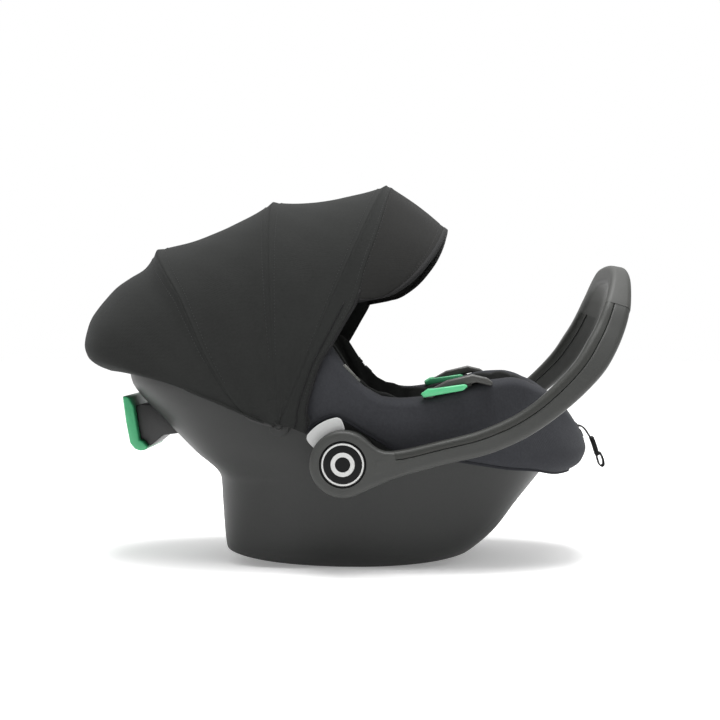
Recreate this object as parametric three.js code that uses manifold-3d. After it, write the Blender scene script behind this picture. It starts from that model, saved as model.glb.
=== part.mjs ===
// Infant car seat with carry handle, folding canopy and three-point harness.
// Millimetres, +Z up, +X towards the child's feet, +Y to the child's left.
// Origin: lowest point of the rocker, on the floor, on the middle plane.
import * as THREE from 'three';
import { mergeVertices } from 'three/addons/utils/BufferGeometryUtils.js';
import { LoftGeometry } from 'three/addons/geometries/LoftGeometry.js';
import Module from 'manifold-3d';

const wasm = await Module();
wasm.setup();

// ------------------------------------------------------------------ driving dimensions
const GAP = 0.35;                 // clearance between parts that touch
const HUB = [-5, 130];            // handle pivot, X and Z
const PIVOT = [-80, 171];         // canopy pivot, X and Z
const ROCKER_R = 690;             // rocker radius under the shell
const ROCKER_FLAT = 20;           // half length of the middle facet it stands on
const WALL = 4.5;                 // shell wall
const LINER = 20;                 // thickness of the impact liner
const COVER_SKIN = 5;             // cover outside the shell
const LINING = 8;                 // cover inside the liner
const DISC_R = 38;                // handle disc
const DISC_Y = [196, 218];        // handle disc, inner and outer face
const ARM_T = 22;                 // handle section across the arm
const GRIP_Y = 160;               // half length of the soft grip, across the seat
const ARCH_N = 2.4;               // squareness of the canopy arches
const FABRIC_Y = 190.2;           // half width of the canopy outside
const FABRIC_T = 2.2;             // canopy cloth with its lining
const BOWS = {                    // crown radius and angle from the canopy pivot, level of the strip
  front: { R: 310.3, phi: 67.65, Y: 186.7, drop: 7 },
  middle: { R: 267.9, phi: 94.71, Y: 184.9, drop: 5.2 },
  rear: { R: 266.5, phi: 128.5, Y: 183.1, drop: 5.2 },
};
const BOW_T = 1.6;
const BOW_W = 7;
const SAG = 8;                    // how far the cloth dips between two bows
const BACK = { origin: [-60, 75], along: [-0.685, 0.7285], out: [0.7285, 0.685] };   // seat back line

// shell sections: z, rear x, front x, half width, squareness
const SHELL = [
  [-2, -150, 118, 116, 4.2],
  [8, -154, 133, 131, 4.0],
  [20, -157.5, 150, 142, 3.8],
  [40, -160.5, 173, 150, 3.5],
  [72, -163.5, 198, 158, 3.2],
  [101, -166, 221.5, 166, 3.0],
  [134, -200.5, 247.5, 176, 2.8],
  [152, -219, 258.5, 179, 2.7],
  [175, -241.5, 266, 181, 2.6],
  [203, -269, 268, 181, 2.6],
  [216, -277.5, 269, 181, 2.6],
  [232, -281.5, 270, 178, 2.6],
  [262, -290, 271, 171.5, 2.6],
  [312, -298, 272, 159, 2.6],
];
// seat hollow in the liner: z, rear x, front x, half width, squareness
const HOLLOW = [
  [72, -50, 85, 98, 3.2],
  [85, -69.5, 110, 118, 3.2],
  [100, -83.5, 130, 128, 3.0],
  [130, -111.7, 172, 140, 2.9],
  [160, -140, 208, 148, 2.8],
  [190, -168, 238, 154, 2.8],
  [230, -205.6, 252, 157, 2.7],
  [270, -243.2, 254, 157, 2.7],
  [330, -299.6, 256, 157, 2.7],
];
// top edge of the shell and the liner, side view
const RIM = [[-420, 280], [-300, 288], [-250, 295], [-180, 297], [-120, 291], [-70, 277], [-30, 253], [0, 221],
  [20, 206], [45, 194], [62, 192], [81, 193], [110, 200], [135, 206], [150, 210], [172, 214], [190, 215],
  [205, 210], [224, 199], [245, 183], [262, 163], [300, 140], [420, 140]];
// top edge of the cover, side view
const COVER_TOP = [[-420, 298], [-300, 300], [-250, 306], [-180, 308], [-120, 302], [-70, 288], [-45, 280],
  [-19, 265], [-8, 244], [13, 222], [32, 208], [45, 204.5], [62, 203], [81, 204.5], [110, 211], [135, 217],
  [150, 222], [172, 225], [186, 226], [201, 223], [212, 218], [224, 213], [252, 190], [290, 150], [420, 150]];
// lower edge of the cover outside the shell, side view
const COVER_LOW = [[-60, 160], [-50, 163], [-45, 167], [-37, 174], [-30, 178.4], [-22, 181.8], [-14, 183], [-8, 181], [-3, 176.5], [1.6, 174], [13, 169], [24.3, 160.4], [35.7, 150.8],
  [47, 144], [90, 137], [132, 130], [157, 125.5], [183, 121.5], [218, 117.5], [247, 112], [262, 111.5], [420, 111.5]];
// front of the cover: z, front x
const COVER_FRONT = [[100, 240], [112, 266], [122, 278], [137, 283], [150, 280], [170, 274], [190, 273.5], [215, 274], [312, 277]];

// ------------------------------------------------------------------ small helpers
const V = (x, y, z) => new THREE.Vector3(x, y, z);
const lerp = (a, b, t) => a + (b - a) * t;
const deg = Math.PI / 180;

function table(rows, x, col = 1) {
  if (x <= rows[0][0]) return rows[0][col];
  for (let i = 1; i < rows.length; i++) {
    if (x <= rows[i][0]) return lerp(rows[i - 1][col], rows[i][col], (x - rows[i - 1][0]) / (rows[i][0] - rows[i - 1][0]));
  }
  return rows[rows.length - 1][col];
}

// closed geometry to solid, turned so that its faces point out
function solid(geometry) {
  const g = new THREE.BufferGeometry();
  g.setAttribute('position', geometry.getAttribute('position'));
  if (geometry.index) g.setIndex(geometry.index);
  const merged = mergeVertices(g, 1e-4);
  const p = merged.getAttribute('position').array;
  const idx = [];
  const src = merged.index.array;
  let vol = 0;
  for (let i = 0; i < src.length; i += 3) {
    const [a, b, c] = [src[i], src[i + 1], src[i + 2]];
    if (a === b || b === c || a === c) continue;
    idx.push(a, b, c);
    const A = V(p[3 * a], p[3 * a + 1], p[3 * a + 2]), B = V(p[3 * b], p[3 * b + 1], p[3 * b + 2]), C = V(p[3 * c], p[3 * c + 1], p[3 * c + 2]);
    vol += A.dot(B.cross(C));
  }
  if (vol < 0) for (let i = 0; i < idx.length; i += 3) [idx[i + 1], idx[i + 2]] = [idx[i + 2], idx[i + 1]];
  return new wasm.Manifold(new wasm.Mesh({ numProp: 3, vertProperties: new Float32Array(p), triVerts: new Uint32Array(idx) }));
}

const union = (...s) => s.reduce((a, b) => a.add(b));
const cut = (a, ...s) => s.reduce((x, y) => x.subtract(y), a);

// prism of a 2D outline; origin and three directions place it
function prismAt(points, depth, origin, ex, ey, ez, holes = []) {
  const shape = new THREE.Shape(points.map((p) => new THREE.Vector2(p[0], p[1])));
  for (const h of holes) shape.holes.push(new THREE.Path(h.map((p) => new THREE.Vector2(p[0], p[1]))));
  const g = new THREE.ExtrudeGeometry(shape, { depth, bevelEnabled: false, steps: 1 });
  g.applyMatrix4(new THREE.Matrix4().makeBasis(ex, ey, ez).setPosition(origin));
  return solid(g);
}
// outline in X and Z, from y0 to y1
const slab = (points, y0, y1, holes) => prismAt(points, y1 - y0, V(0, y0, 0), V(1, 0, 0), V(0, 0, 1), V(0, 1, 0), holes);
const box = (x0, x1, y0, y1, z0, z1) => slab([[x0, z0], [x1, z0], [x1, z1], [x0, z1]], y0, y1);

// region over a side-view curve
const above = (curve, dz = 0) => slab([...curve.map(([x, z]) => [x, z + dz]), [420, 700], [-420, 700]], -300, 300);
const below = (curve, dz = 0) => slab([...curve.map(([x, z]) => [x, z + dz]), [420, -200], [-420, -200]], -300, 300);

function cylinderY(x, z, r, y0, y1, r2 = r, segments = 32) {
  const g = new THREE.CylinderGeometry(r2, r, y1 - y0, segments);
  g.translate(x, (y0 + y1) / 2, z);
  return solid(g);
}
// between |y| a and b on one side; r at the inner end, r2 at the outer end
function hubCylinder(side, x, z, r, a, b, r2 = r, segments = 32) {
  return side > 0 ? cylinderY(x, z, r, a, b, r2, segments) : cylinderY(x, z, r2, -b, -a, r, segments);
}

function ring(xr, xf, z, w, n, count = 24) {
  const pts = [];
  const xc = (xr + xf) / 2, a = (xf - xr) / 2;
  for (let i = 0; i < count; i++) {
    const t = (i / count) * 2 * Math.PI;
    const c = Math.cos(t), s = Math.sin(t);
    pts.push(V(xc + a * Math.sign(c) * Math.abs(c) ** (2 / n), w * Math.sign(s) * Math.abs(s) ** (2 / n), z));
  }
  return pts;
}
// each section turns anticlockwise as seen from the far end
function loft(sections) {
  const a = sections[0], n = V(0, 0, 0), d = V(0, 0, 0);
  a.forEach((p, i) => {
    const q = a[(i + 1) % a.length];
    n.add(V((p.y - q.y) * (p.z + q.z), (p.z - q.z) * (p.x + q.x), (p.x - q.x) * (p.y + q.y)));
    d.add(sections[1][i]).sub(p);
  });
  const turned = n.dot(d) < 0 ? sections.map((r) => [...r].reverse()) : sections;
  return solid(new LoftGeometry(turned, { capStart: true, capEnd: true }));
}

// bucket from a table of sections, grown by d
function bucket(rows, d, lift = 0) {
  const z0 = rows[0][0] + lift;
  const at = (c) => table(rows, z0, c);
  const kept = [[z0, at(1), at(2), at(3), at(4)], ...rows.filter((r) => r[0] > z0 + 2)];
  return loft(kept.map(([z, xr, xf, w, n]) => ring(xr - d, xf + d, z, w + d, n)));
}

// closed solid of a sheet S(u, v) with thickness t towards the inside point
function sheet(S, nu, nv, t, inside) {
  const outer = [], inner = [];
  const e = 1e-3;
  for (let i = 0; i <= nu; i++) {
    for (let j = 0; j <= nv; j++) {
      const u = i / nu, v = j / nv;
      const p = S(u, v);
      const du = S(Math.min(1, u + e), v).sub(S(Math.max(0, u - e), v));
      const dv = S(u, Math.min(1, v + e)).sub(S(u, Math.max(0, v - e)));
      const n = du.cross(dv).normalize();
      if (n.dot(inside.clone().sub(p)) < 0) n.negate();
      outer.push(p);
      inner.push(p.clone().addScaledVector(n, t));
    }
  }
  const pos = [...outer, ...inner].flatMap((p) => [p.x, p.y, p.z]);
  const m = outer.length, at = (i, j) => i * (nv + 1) + j;
  const idx = [];
  const quad = (a, b, c, d) => idx.push(a, b, c, a, c, d);
  for (let i = 0; i < nu; i++) {
    for (let j = 0; j < nv; j++) {
      quad(at(i, j), at(i + 1, j), at(i + 1, j + 1), at(i, j + 1));
      quad(m + at(i, j), m + at(i, j + 1), m + at(i + 1, j + 1), m + at(i + 1, j));
    }
  }
  for (let i = 0; i < nu; i++) {
    quad(at(i, 0), m + at(i, 0), m + at(i + 1, 0), at(i + 1, 0));
    quad(at(i, nv), at(i + 1, nv), m + at(i + 1, nv), m + at(i, nv));
  }
  for (let j = 0; j < nv; j++) {
    quad(at(0, j), at(0, j + 1), m + at(0, j + 1), m + at(0, j));
    quad(at(nu, j), m + at(nu, j), m + at(nu, j + 1), at(nu, j + 1));
  }
  const g = new THREE.BufferGeometry();
  g.setAttribute('position', new THREE.Float32BufferAttribute(pos, 3));
  g.setIndex(idx);
  return solid(g);
}

// flat strap along points [x, y, z], each with its flat normal [x, y, z]
function strap(points, width, thick) {
  const P = points.map((p) => V(...p.slice(0, 3)));
  const sections = P.map((p, i) => {
    const T = P[Math.min(P.length - 1, i + 1)].clone().sub(P[Math.max(0, i - 1)]).normalize();
    const N = V(...points[i].slice(3, 6));
    N.addScaledVector(T, -N.dot(T)).normalize();
    const B = T.clone().cross(N);
    return [[-1, -1], [1, -1], [1, 1], [-1, 1]].map(([a, b]) =>
      p.clone().addScaledVector(B, a * width / 2).addScaledVector(N, b * thick / 2));
  });
  return loft(sections);
}

function roundRect(w, h, r, seg = 3, cx = 0, cy = 0) {
  const pts = [];
  for (const [sx, sy, a0] of [[1, 1, 0], [-1, 1, 90], [-1, -1, 180], [1, -1, 270]]) {
    for (let i = 0; i <= seg; i++) {
      const a = (a0 + (90 * i) / seg) * deg;
      pts.push([cx + sx * (w / 2 - r) + r * Math.cos(a), cy + sy * (h / 2 - r) + r * Math.sin(a)]);
    }
  }
  return pts;
}

// point on the seat back line: s along it, n out of it
const onBack = (s, n) => [BACK.origin[0] + BACK.along[0] * s + BACK.out[0] * n, BACK.origin[1] + BACK.along[1] * s + BACK.out[1] * n];

// ------------------------------------------------------------------ scene
const group = new THREE.Group();
const LOOK = {
  shell: [0x383a3b, 0.55], liner: [0x2a2b2c, 0.9], cover: [0x2c2d31, 0.95], pad: [0x1d1e1d, 0.95],
  canopy: [0x23262a, 0.9], bow: [0x202020, 0.5], steel: [0x9a9c9e, 0.35], handle: [0x4a4c4b, 0.5],
  grip: [0x3a3a39, 0.7], cap: [0x0d0d0e, 0.3], tab: [0xbfc0c0, 0.5], green: [0x4aa37c, 0.45],
  web: [0x1b1b1c, 0.85], buckle: [0x17181a, 0.4], red: [0xb3201d, 0.4],
};
function add(name, s, look) {
  const m = s.getMesh();
  const g = new THREE.BufferGeometry();
  g.setAttribute('position', new THREE.Float32BufferAttribute(m.vertProperties, 3));
  g.setIndex(new THREE.Uint32BufferAttribute(m.triVerts, 1));
  g.computeVertexNormals();
  const [color, roughness] = LOOK[look];
  const mesh = new THREE.Mesh(g, new THREE.MeshStandardMaterial({ color, roughness, metalness: look === 'steel' ? 1 : 0 }));
  mesh.name = name;
  group.add(mesh);
}
const SIDES = [[-1, 'right'], [1, 'left']];

// ------------------------------------------------------------------ shell
const facet = [];
for (const x of [-420, -170, -145, -120, -95, -70, -45, -ROCKER_FLAT, ROCKER_FLAT, 45, 70, 95, 120, 145, 170, 420]) {
  facet.push([x, Math.abs(x) <= ROCKER_FLAT ? 0 : (x * x) / (2 * ROCKER_R)]);
}
const shellOuter = bucket(SHELL, 0).subtract(below(facet));
const shellGrown = bucket(SHELL, GAP).subtract(above(RIM, GAP));
const shellInner = bucket(SHELL, -WALL).subtract(below(facet, WALL));
const POCKETS = [[-139, -36], [36, 134]];           // latch pockets under the seat, outer walls in X
let shell = shellOuter;
for (const [side] of SIDES) shell = shell.add(hubCylinder(side, HUB[0], HUB[1], 50, 168, 190, 37, 28));
let hollowing = shellInner;
for (const [x0, x1] of POCKETS) hollowing = hollowing.subtract(box(x0, x1, -72, 72, -5, 42));
shell = cut(shell, hollowing, above(RIM));
for (const [x0, x1] of POCKETS) shell = shell.subtract(box(x0 + 4, x1 - 4, -68, 68, -20, 38));
const BARS = [-100, 95];
for (const x of BARS) shell = shell.subtract(cylinderY(x, 24, 4.4, -76, 76, 4.4, 16));
for (const [side] of SIDES) shell = shell.subtract(hubCylinder(side, HUB[0], HUB[1], 6.4, 160, 192, 6.4, 12));
add('shell', shell, 'shell');
BARS.forEach((x, i) => add(i ? 'base_bar_front' : 'base_bar_rear', cylinderY(x, 24, 4, -75.5, 75.5, 4, 16), 'steel'));

// ------------------------------------------------------------------ impact liner
const hollow = bucket(HOLLOW, 0);
const linerOuter = bucket(HOLLOW, LINER, -LINER).intersect(bucket(SHELL, -WALL - GAP));
const liner = cut(linerOuter, hollow, above(RIM, -0.2));
add('impact_liner', liner, 'liner');

// ------------------------------------------------------------------ lap belt guides, one on each side of the rim
const guideOutline = [[84, 203], [89, 210], [112, 223], [141, 230], [158, 226], [165, 221], [163, 217], [146, 221], [130, 217.6], [112, 212.4], [100, 207.5], [96, 203]];
const insertOutline = [[82, 208.5], [86, 204.2], [112, 209], [131, 212.5], [136, 217.5], [132, 219.5], [112, 216.6], [90, 213.5]];
const guides = {};
for (const [side, name] of SIDES) {
  const y = (a, b) => (side > 0 ? [a, b] : [-b, -a]);
  guides['lap_guide_' + name] = slab(guideOutline, ...y(156, 177.6));
  guides['lap_guide_insert_' + name] = slab(insertOutline, ...y(178, 187.5));
}

// ------------------------------------------------------------------ seat cover
const coverRings = SHELL.filter((r) => r[0] > 80).map(([z, xr, xf, w, n]) => [z, xr, table(COVER_FRONT, z), w, n]);
const skin = loft(coverRings.map(([z, xr, xf, w, n]) => ring(xr - 1, xf, z, Math.min(186.2, w + COVER_SKIN), n)))
  .intersect(box(-58, 330, -300, 300, 0, 500)).subtract(below(COVER_LOW)).subtract(above(COVER_TOP));
const rearRim = bucket(SHELL, -1).intersect(box(-420, -50, -300, 300, 150, 500)).subtract(above(COVER_TOP));
const lining = bucket(HOLLOW, -GAP, GAP).subtract(above(RIM, 3));
const seatSpace = bucket(HOLLOW, -LINING - GAP, LINING + GAP);
let cover = cut(union(cut(skin, shellGrown), cut(rearRim, shellGrown), lining), seatSpace);
const guideRoom = [];
for (const [side] of SIDES) {
  const y = side > 0 ? [140, 190] : [-190, -140];
  guideRoom.push(slab([[78, 207], [81, 201.5], [112, 201.5], [131, 211], [138, 214], [168, 216], [168, 300], [80, 300]], ...y));
  guideRoom.push(hubCylinder(side, HUB[0], HUB[1], 51, 160, 200, 38.5, 28));
}
cover = cut(cover, ...guideRoom);
const bezelFrame = { o: V(280, 0, 149), along: V(-0.41, 0, 0.912), out: V(0.912, 0, 0.41) };
const bezelBox = (a0, a1, w, d0, d1) => prismAt([[-w, a0], [w, a0], [w, a1], [-w, a1]], d1 - d0,
  bezelFrame.o.clone().addScaledVector(bezelFrame.out, d0), V(0, 1, 0), bezelFrame.along, bezelFrame.out);
cover = cover.subtract(bezelBox(-4.35, 18.35, 22.35, -5.85, 30));
{
  const parts = cover.decompose().sort((a, b) => b.volume() - a.volume());
  cover = parts[0];
}
add('seat_cover', cover, 'cover');
for (const [name, s] of Object.entries(guides)) {
  add(name, s.subtract(name.includes('insert') ? box(0, 1, 0, 1, -9, -8) : bucket(SHELL, GAP).subtract(above(RIM, GAP))), name.includes('insert') ? 'green' : 'shell');
}

// ------------------------------------------------------------------ inserts
const padSpace = bucket(HOLLOW, -LINING - 2 * GAP, LINING + 2 * GAP);
const seatPadOutline = [[-44, 82], [92, 82], [104, 92], [118, 106], [112, 110], [60, 106], [0, 103], [-34, 104], [-48, 99]];
add('seat_pad', slab(seatPadOutline, -96, 96).intersect(padSpace), 'pad');
const backPadOutline = [onBack(40, 9.5), onBack(168, 9.5), onBack(168, 24), onBack(160, 30), onBack(60, 31), onBack(46, 26)];
add('back_pad', slab(backPadOutline, -92, 92).intersect(padSpace), 'pad');
const bolsterRoom = padSpace.subtract(bucket(HOLLOW, -LINING - 20, 20)).intersect(slab([[-92, 128], [-30, 112], [60, 112], [66, 176], [8, 196], [-60, 226], [-120, 232], [-135, 212]], -300, 300));
for (const [side, name] of SIDES) {
  add('side_bolster_' + name, bolsterRoom.intersect(side > 0 ? box(-300, 300, 96.5, 300, 0, 500) : box(-300, 300, -300, -96.5, 0, 500)), 'pad');
}
// headrest: a board and a U-shaped pad that slide up the back
const headSpace = bucket(HOLLOW, -LINING - 5, LINING);
const along = V(BACK.along[0], 0, BACK.along[1]), out = V(BACK.out[0], 0, BACK.out[1]);
const backPoint = (s, n) => V(onBack(s, n)[0], 0, onBack(s, n)[1]);
const headrestPrism = (pts, s0, s1) => prismAt(pts, s1 - s0, backPoint(s0, 0), V(0, 1, 0), out, along);
add('headrest_board', headrestPrism([[-64, 9.5], [64, 9.5], [64, 13.5], [-64, 13.5]], 170, 262).intersect(headSpace), 'bow');
add('headrest_pad', headrestPrism([[-104, 14], [104, 14], [112, 24], [112, 62], [104, 70], [94, 66], [88, 40], [70, 32], [-70, 32], [-88, 40], [-94, 66], [-104, 70], [-112, 62], [-112, 24]], 170, 258).intersect(headSpace), 'pad');

// ------------------------------------------------------------------ harness
const buckle = { o: V(2, 0, 134), e1: V(-0.92, 0, 0.392), n: V(0.392, 0, 0.92) };
const buckleBox = (pts, d0, d1) => prismAt(pts, d1 - d0, buckle.o.clone().addScaledVector(buckle.n, d0), buckle.e1, V(0, 1, 0), buckle.n);
add('buckle_body', buckleBox(roundRect(44, 50, 9), -8, 8).subtract(buckleBox(roundRect(22.7, 20.7, 4, 2, -5, 0), 2.5, 12)), 'buckle');
add('buckle_button', buckleBox(roundRect(22, 20, 3.6, 2, -5, 0), 5.7, 9.4), 'red');
for (const [side, name] of SIDES) {
  const s = side;
  const at = (d, y, h) => buckle.o.clone().addScaledVector(buckle.e1, d).addScaledVector(buckle.n, h).add(V(0, y, 0));
  const a = at(24, 12.8 * s, 0), b = at(46, 17 * s, 0);
  add('buckle_tongue_' + name, strap([[a.x, a.y, a.z, 0.392, 0, 0.92], [b.x, b.y, b.z, 0.392, 0, 0.92]], 19, 2.4), 'steel');
  const c = at(49.5, 17.6 * s, 0.6), [x1, z1] = onBack(62, 36), [x2, z2] = onBack(100, 34), [x3, z3] = onBack(150, 33.5), [x4, z4] = onBack(163, 31.4);
  add('shoulder_strap_' + name, strap([[c.x, c.y, c.z, 0.45, 0, 0.9], [x1, 28 * s, z1, 0.7, 0, 0.7], [x2, 37 * s, z2, 0.7285, 0, 0.685],
    [x3, 44 * s, z3, 0.7285, 0, 0.685], [x4, 45 * s, z4, 0.7285, 0, 0.685]], 36, 1.8), 'web');
  const [u1, w1] = onBack(84, 41), [u2, w2] = onBack(146, 39.5);
  add('shoulder_pad_' + name, strap([[u1, 33.5 * s, w1, 0.7285, 0, 0.685], [u2, 43.4 * s, w2, 0.7285, 0, 0.685]], 50, 8), 'pad');
}
add('crotch_strap', strap([[62, 0, 108.3, 0.3, 0, 1], [50, 0, 112, 0.4, 0, 1], [38, 0, 118, 0.45, 0, 1], [22.9, 0, 125.2, 0.392, 0, 0.92]], 32, 1.8), 'web');
add('crotch_pad', strap([[60, 0, 113.6, 0.3, 0, 1], [48, 0, 118.3, 0.4, 0, 1], [34, 0, 125.6, 0.45, 0, 1]], 44, 7), 'pad');
// adjuster in the front edge of the cover, with the pull strap
const bezel = bezelBox(-4, 18, 22, -5.5, 0).subtract(bezelBox(-1.4, 8.4, 14.4, -4.2, 5)).subtract(bezelBox(11, 14.8, 13.4, -9, 5));
add('adjuster_housing', bezel, 'buckle');
add('adjuster_button', bezelBox(-1, 8, 14, -1.2, 1.6), 'buckle');
const pull = [[270.4, 158.8], [275.2, 160.9], [279.5, 160.2], [284, 156.4], [287.5, 151.5], [293, 143], [297.5, 129], [299.7, 119], [303.2, 110.8], [307.5, 111.5], [306.3, 119], [302, 128]];
{
  const left = [], right = [];
  pull.forEach(([x, z], i) => {
    const [x0, z0] = pull[Math.max(0, i - 1)], [x1, z1] = pull[Math.min(pull.length - 1, i + 1)];
    const l = Math.hypot(x1 - x0, z1 - z0), nx = -(z1 - z0) / l, nz = (x1 - x0) / l;
    left.push([x + nx * 0.9, z + nz * 0.9]);
    right.unshift([x - nx * 0.9, z - nz * 0.9]);
  });
  add('adjuster_strap', slab([...left, ...right], -12.5, 12.5), 'web');
}

// ------------------------------------------------------------------ rear belt guide
const hook = [[-285, 199], [-281, 168], [-276, 141], [-270, 134], [-264, 131.5], [-257, 132.5], [-253, 136], [-256.5, 139.5], [-260, 143.5], [-264.5, 145], [-268, 165], [-271, 185], [-277, 198]];
add('shoulder_belt_guide', slab(hook, -58, 58), 'green');
const bracket = [[-270.4, 186], [-262, 189], [-240, 189], [-205, 154], [-236, 150.5], [-252.5, 136.8], [-256.2, 140], [-259.8, 144], [-264.1, 145.4], [-267.6, 165]];
add('belt_guide_bracket', slab(bracket, -48, 48).subtract(bucket(SHELL, GAP)), 'bow');

// ------------------------------------------------------------------ hub pieces
const PRESS = V(Math.cos(121 * deg), 0, Math.sin(121 * deg));      // outward direction of the release button
const across = V(-Math.sin(121 * deg), 0, Math.cos(121 * deg));
const hubPrism = (side, pts, a, b) => prismAt(pts, (b - a), V(HUB[0], side > 0 ? a : -b, HUB[1]), PRESS, across, V(0, 1, 0));
for (const [side, name] of SIDES) {
  const base = hubCylinder(side, HUB[0], HUB[1], 36, 190.4, 195.4, 36, 24);
  add('hub_base_' + name, cut(base, hubCylinder(side, HUB[0], HUB[1], 6.4, 185, 200, 6.4, 12), hubPrism(side, [[20, -60], [60, -60], [60, 60], [20, 60]], 185, 200)), 'shell');
  add('handle_axle_' + name, union(hubCylinder(side, HUB[0], HUB[1], 6, 177.5, 210.4, 6, 12), hubCylinder(side, HUB[0], HUB[1], 10, 207, 210.5, 10, 12)), 'steel');
  const sector = [];
  for (let a = -25; a <= 25; a += 5) sector.push([52 * Math.cos(a * deg), 52 * Math.sin(a * deg)]);
  for (let a = 33; a >= -33; a -= 6) sector.push([37 * Math.cos(a * deg), 37 * Math.sin(a * deg)]);
  const button = union(hubPrism(side, sector, 190.7, 195.1), hubPrism(side, [[28, -15], [40, -15], [40, 15], [28, 15]], 190.7, 195.1),
    hubPrism(side, [[28, -4.5], [31, -4.5], [31, 4.5], [28, 4.5]], 194.6, 199));
  add('release_button_' + name, button, 'tab');
  const leaf = [];
  for (let i = 0; i <= 8; i++) leaf.push([20.5 + 6 * Math.sin((i / 8) * Math.PI), -12 + 3 * i]);
  for (let i = 8; i >= 0; i--) leaf.push([21.3 + 6 * Math.sin((i / 8) * Math.PI), -12 + 3 * i]);
  add('release_spring_' + name, hubPrism(side, leaf, 191.2, 194.6), 'steel');
}

// ------------------------------------------------------------------ carry handle
// centre line: x, |y|, z, rising angle in side view, width
const ARM = [[-5, 209, 130, 3, 29], [59, 209, 131.4, 9, 28.5], [82, 209, 136.6, 13, 27.6], [104, 209, 142.6, 13.5, 26.8], [126.4, 209, 147.7, 14.5, 27.3],
  [149, 209, 153.4, 18, 28], [171.3, 209, 161.8, 23, 28.3], [193.8, 208.5, 172.5, 29, 28.3], [216.2, 207.5, 186.9, 35, 28.5],
  [248, 203, 213.8, 46, 31], [269.4, 196, 236.1, 54, 33.2], [284.6, 186, 258.4, 62, 34.6], [296.9, 173, 281, 68.5, 32.8],
  [305.9, GRIP_Y, 303.9, 75, 30], [309.2, 147, 315.6, 76, 27.5], [312, 132, 327.4, 77, 25], [314, 112, 337, 78, 23], [315, 80, 344, 79, 21.5],
  [315.3, 40, 346.3, 79, 21], [315.3, 0, 347, 79, 21]];
const path = [...ARM.map((p) => [p[0], -p[1], p[2], p[3], p[4]]), ...ARM.slice(0, -1).reverse()];
function handleSections(outline, from, to) {
  const out = [];
  for (let i = from; i <= to; i++) {
    const p = path[i], a = path[Math.max(0, i - 1)], b = path[Math.min(path.length - 1, i + 1)];
    const T = V(b[0] - a[0], b[1] - a[1], b[2] - a[2]).normalize();
    const W = V(Math.sin(p[3] * deg), 0, -Math.cos(p[3] * deg));
    const N = T.clone().cross(W).normalize();
    W.copy(N.clone().cross(T)).normalize();
    out.push(outline(p[4]).map(([w, n]) => V(p[0], p[1], p[2]).addScaledVector(W, w).addScaledVector(N, n)));
  }
  return out;
}
const last = path.length - 1, gripA = 13, gripB = last - 13;
const t = ARM_T / 2;
const lowerSection = (w) => [[-w / 6 + 0.25, -t], [w / 2 - 9, -t], [w / 2 - 2.6, -t + 2.6], [w / 2, -3.5], [w / 2, 3.5], [w / 2 - 2.6, t - 2.6], [w / 2 - 9, t], [-w / 6 + 0.25, t]];
const upperSection = (w) => [[-w / 6 - 0.5, t - 0.4], [-w / 2 + 6, t - 1.2], [-w / 2 + 1.6, t - 4.5], [-w / 2, 3], [-w / 2, -3], [-w / 2 + 1.6, -t + 4.5], [-w / 2 + 6, -t + 1.2], [-w / 6 - 0.5, -t + 0.4]];
const coreSection = () => roundRect(18, 11, 3, 1, 1, 0);
const gripSection = (w) => roundRect(w, ARM_T, 9, 2);
const gripHole = () => roundRect(18.7, 11.7, 3.3, 1, 1, 0);
const armRight = loft(handleSections(lowerSection, 0, gripA)), armLeft = loft(handleSections(lowerSection, gripB, last));
const core = loft(handleSections(coreSection, gripA - 1, gripB + 1));
let frame = union(armRight, armLeft, core);
for (const [side] of SIDES) {
  frame = frame.add(hubCylinder(side, HUB[0], HUB[1], DISC_R, DISC_Y[0], DISC_Y[1], DISC_R, 36));
  frame = cut(frame, hubCylinder(side, HUB[0], HUB[1], 35, 180, 200.2, 35, 24), hubCylinder(side, HUB[0], HUB[1], 6.4, 180, 230, 6.4, 12),
    hubCylinder(side, HUB[0], HUB[1], 10.6, 206.6, 230, 10.6, 12), hubCylinder(side, HUB[0], HUB[1], 26.6, 211, 230, 26.6, 24));
}
add('handle_frame', frame, 'handle');
const gripSlice = (a, b, o) => loft(handleSections(o, a, b));
let grip = gripSlice(gripA, gripB, gripSection).subtract(gripSlice(gripA - 1, gripB + 1, gripHole));
// shorten both ends so that they clear the arms
grip = grip.intersect(box(-400, 400, -GRIP_Y + 0.6, GRIP_Y - 0.6, 0, 500));
add('handle_grip', grip, 'grip');
for (const [side, name] of SIDES) {
  const a = side < 0 ? 1 : gripB, b = side < 0 ? gripA : last - 1;
  let c = loft(handleSections(upperSection, a, b));
  c = cut(c, hubCylinder(side, HUB[0], HUB[1], DISC_R + 0.4, 180, 230, DISC_R + 0.4, 48), box(-400, 400, -GRIP_Y - 0.2, GRIP_Y + 0.2, 0, 500),
    loft(handleSections(() => roundRect(20, 13, 3.3, 1, 1, 0), gripA - 1, gripB + 1)));
  add('handle_cover_' + name, c, 'grip');
  const ringOuter = hubCylinder(side, HUB[0], HUB[1], 34.4, 196.2, 199.8, 34.4, 24);
  const inner = [];
  for (let i = 0; i < 32; i++) {
    const r = i % 4 < 2 ? 31.7 : 32.8;
    inner.push([r * Math.cos((i / 32) * 2 * Math.PI), r * Math.sin((i / 32) * 2 * Math.PI)]);
  }
  add('lock_ring_' + name, ringOuter.subtract(hubPrism(side, inner, 190, 205)), 'steel');
  add('hub_cap_' + name, union(hubCylinder(side, HUB[0], HUB[1], 26.1, 211.4, 218, 26.1, 24), hubCylinder(side, HUB[0], HUB[1], 26.1, 217.9, 219.6, 23, 24)), 'cap');
}

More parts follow.
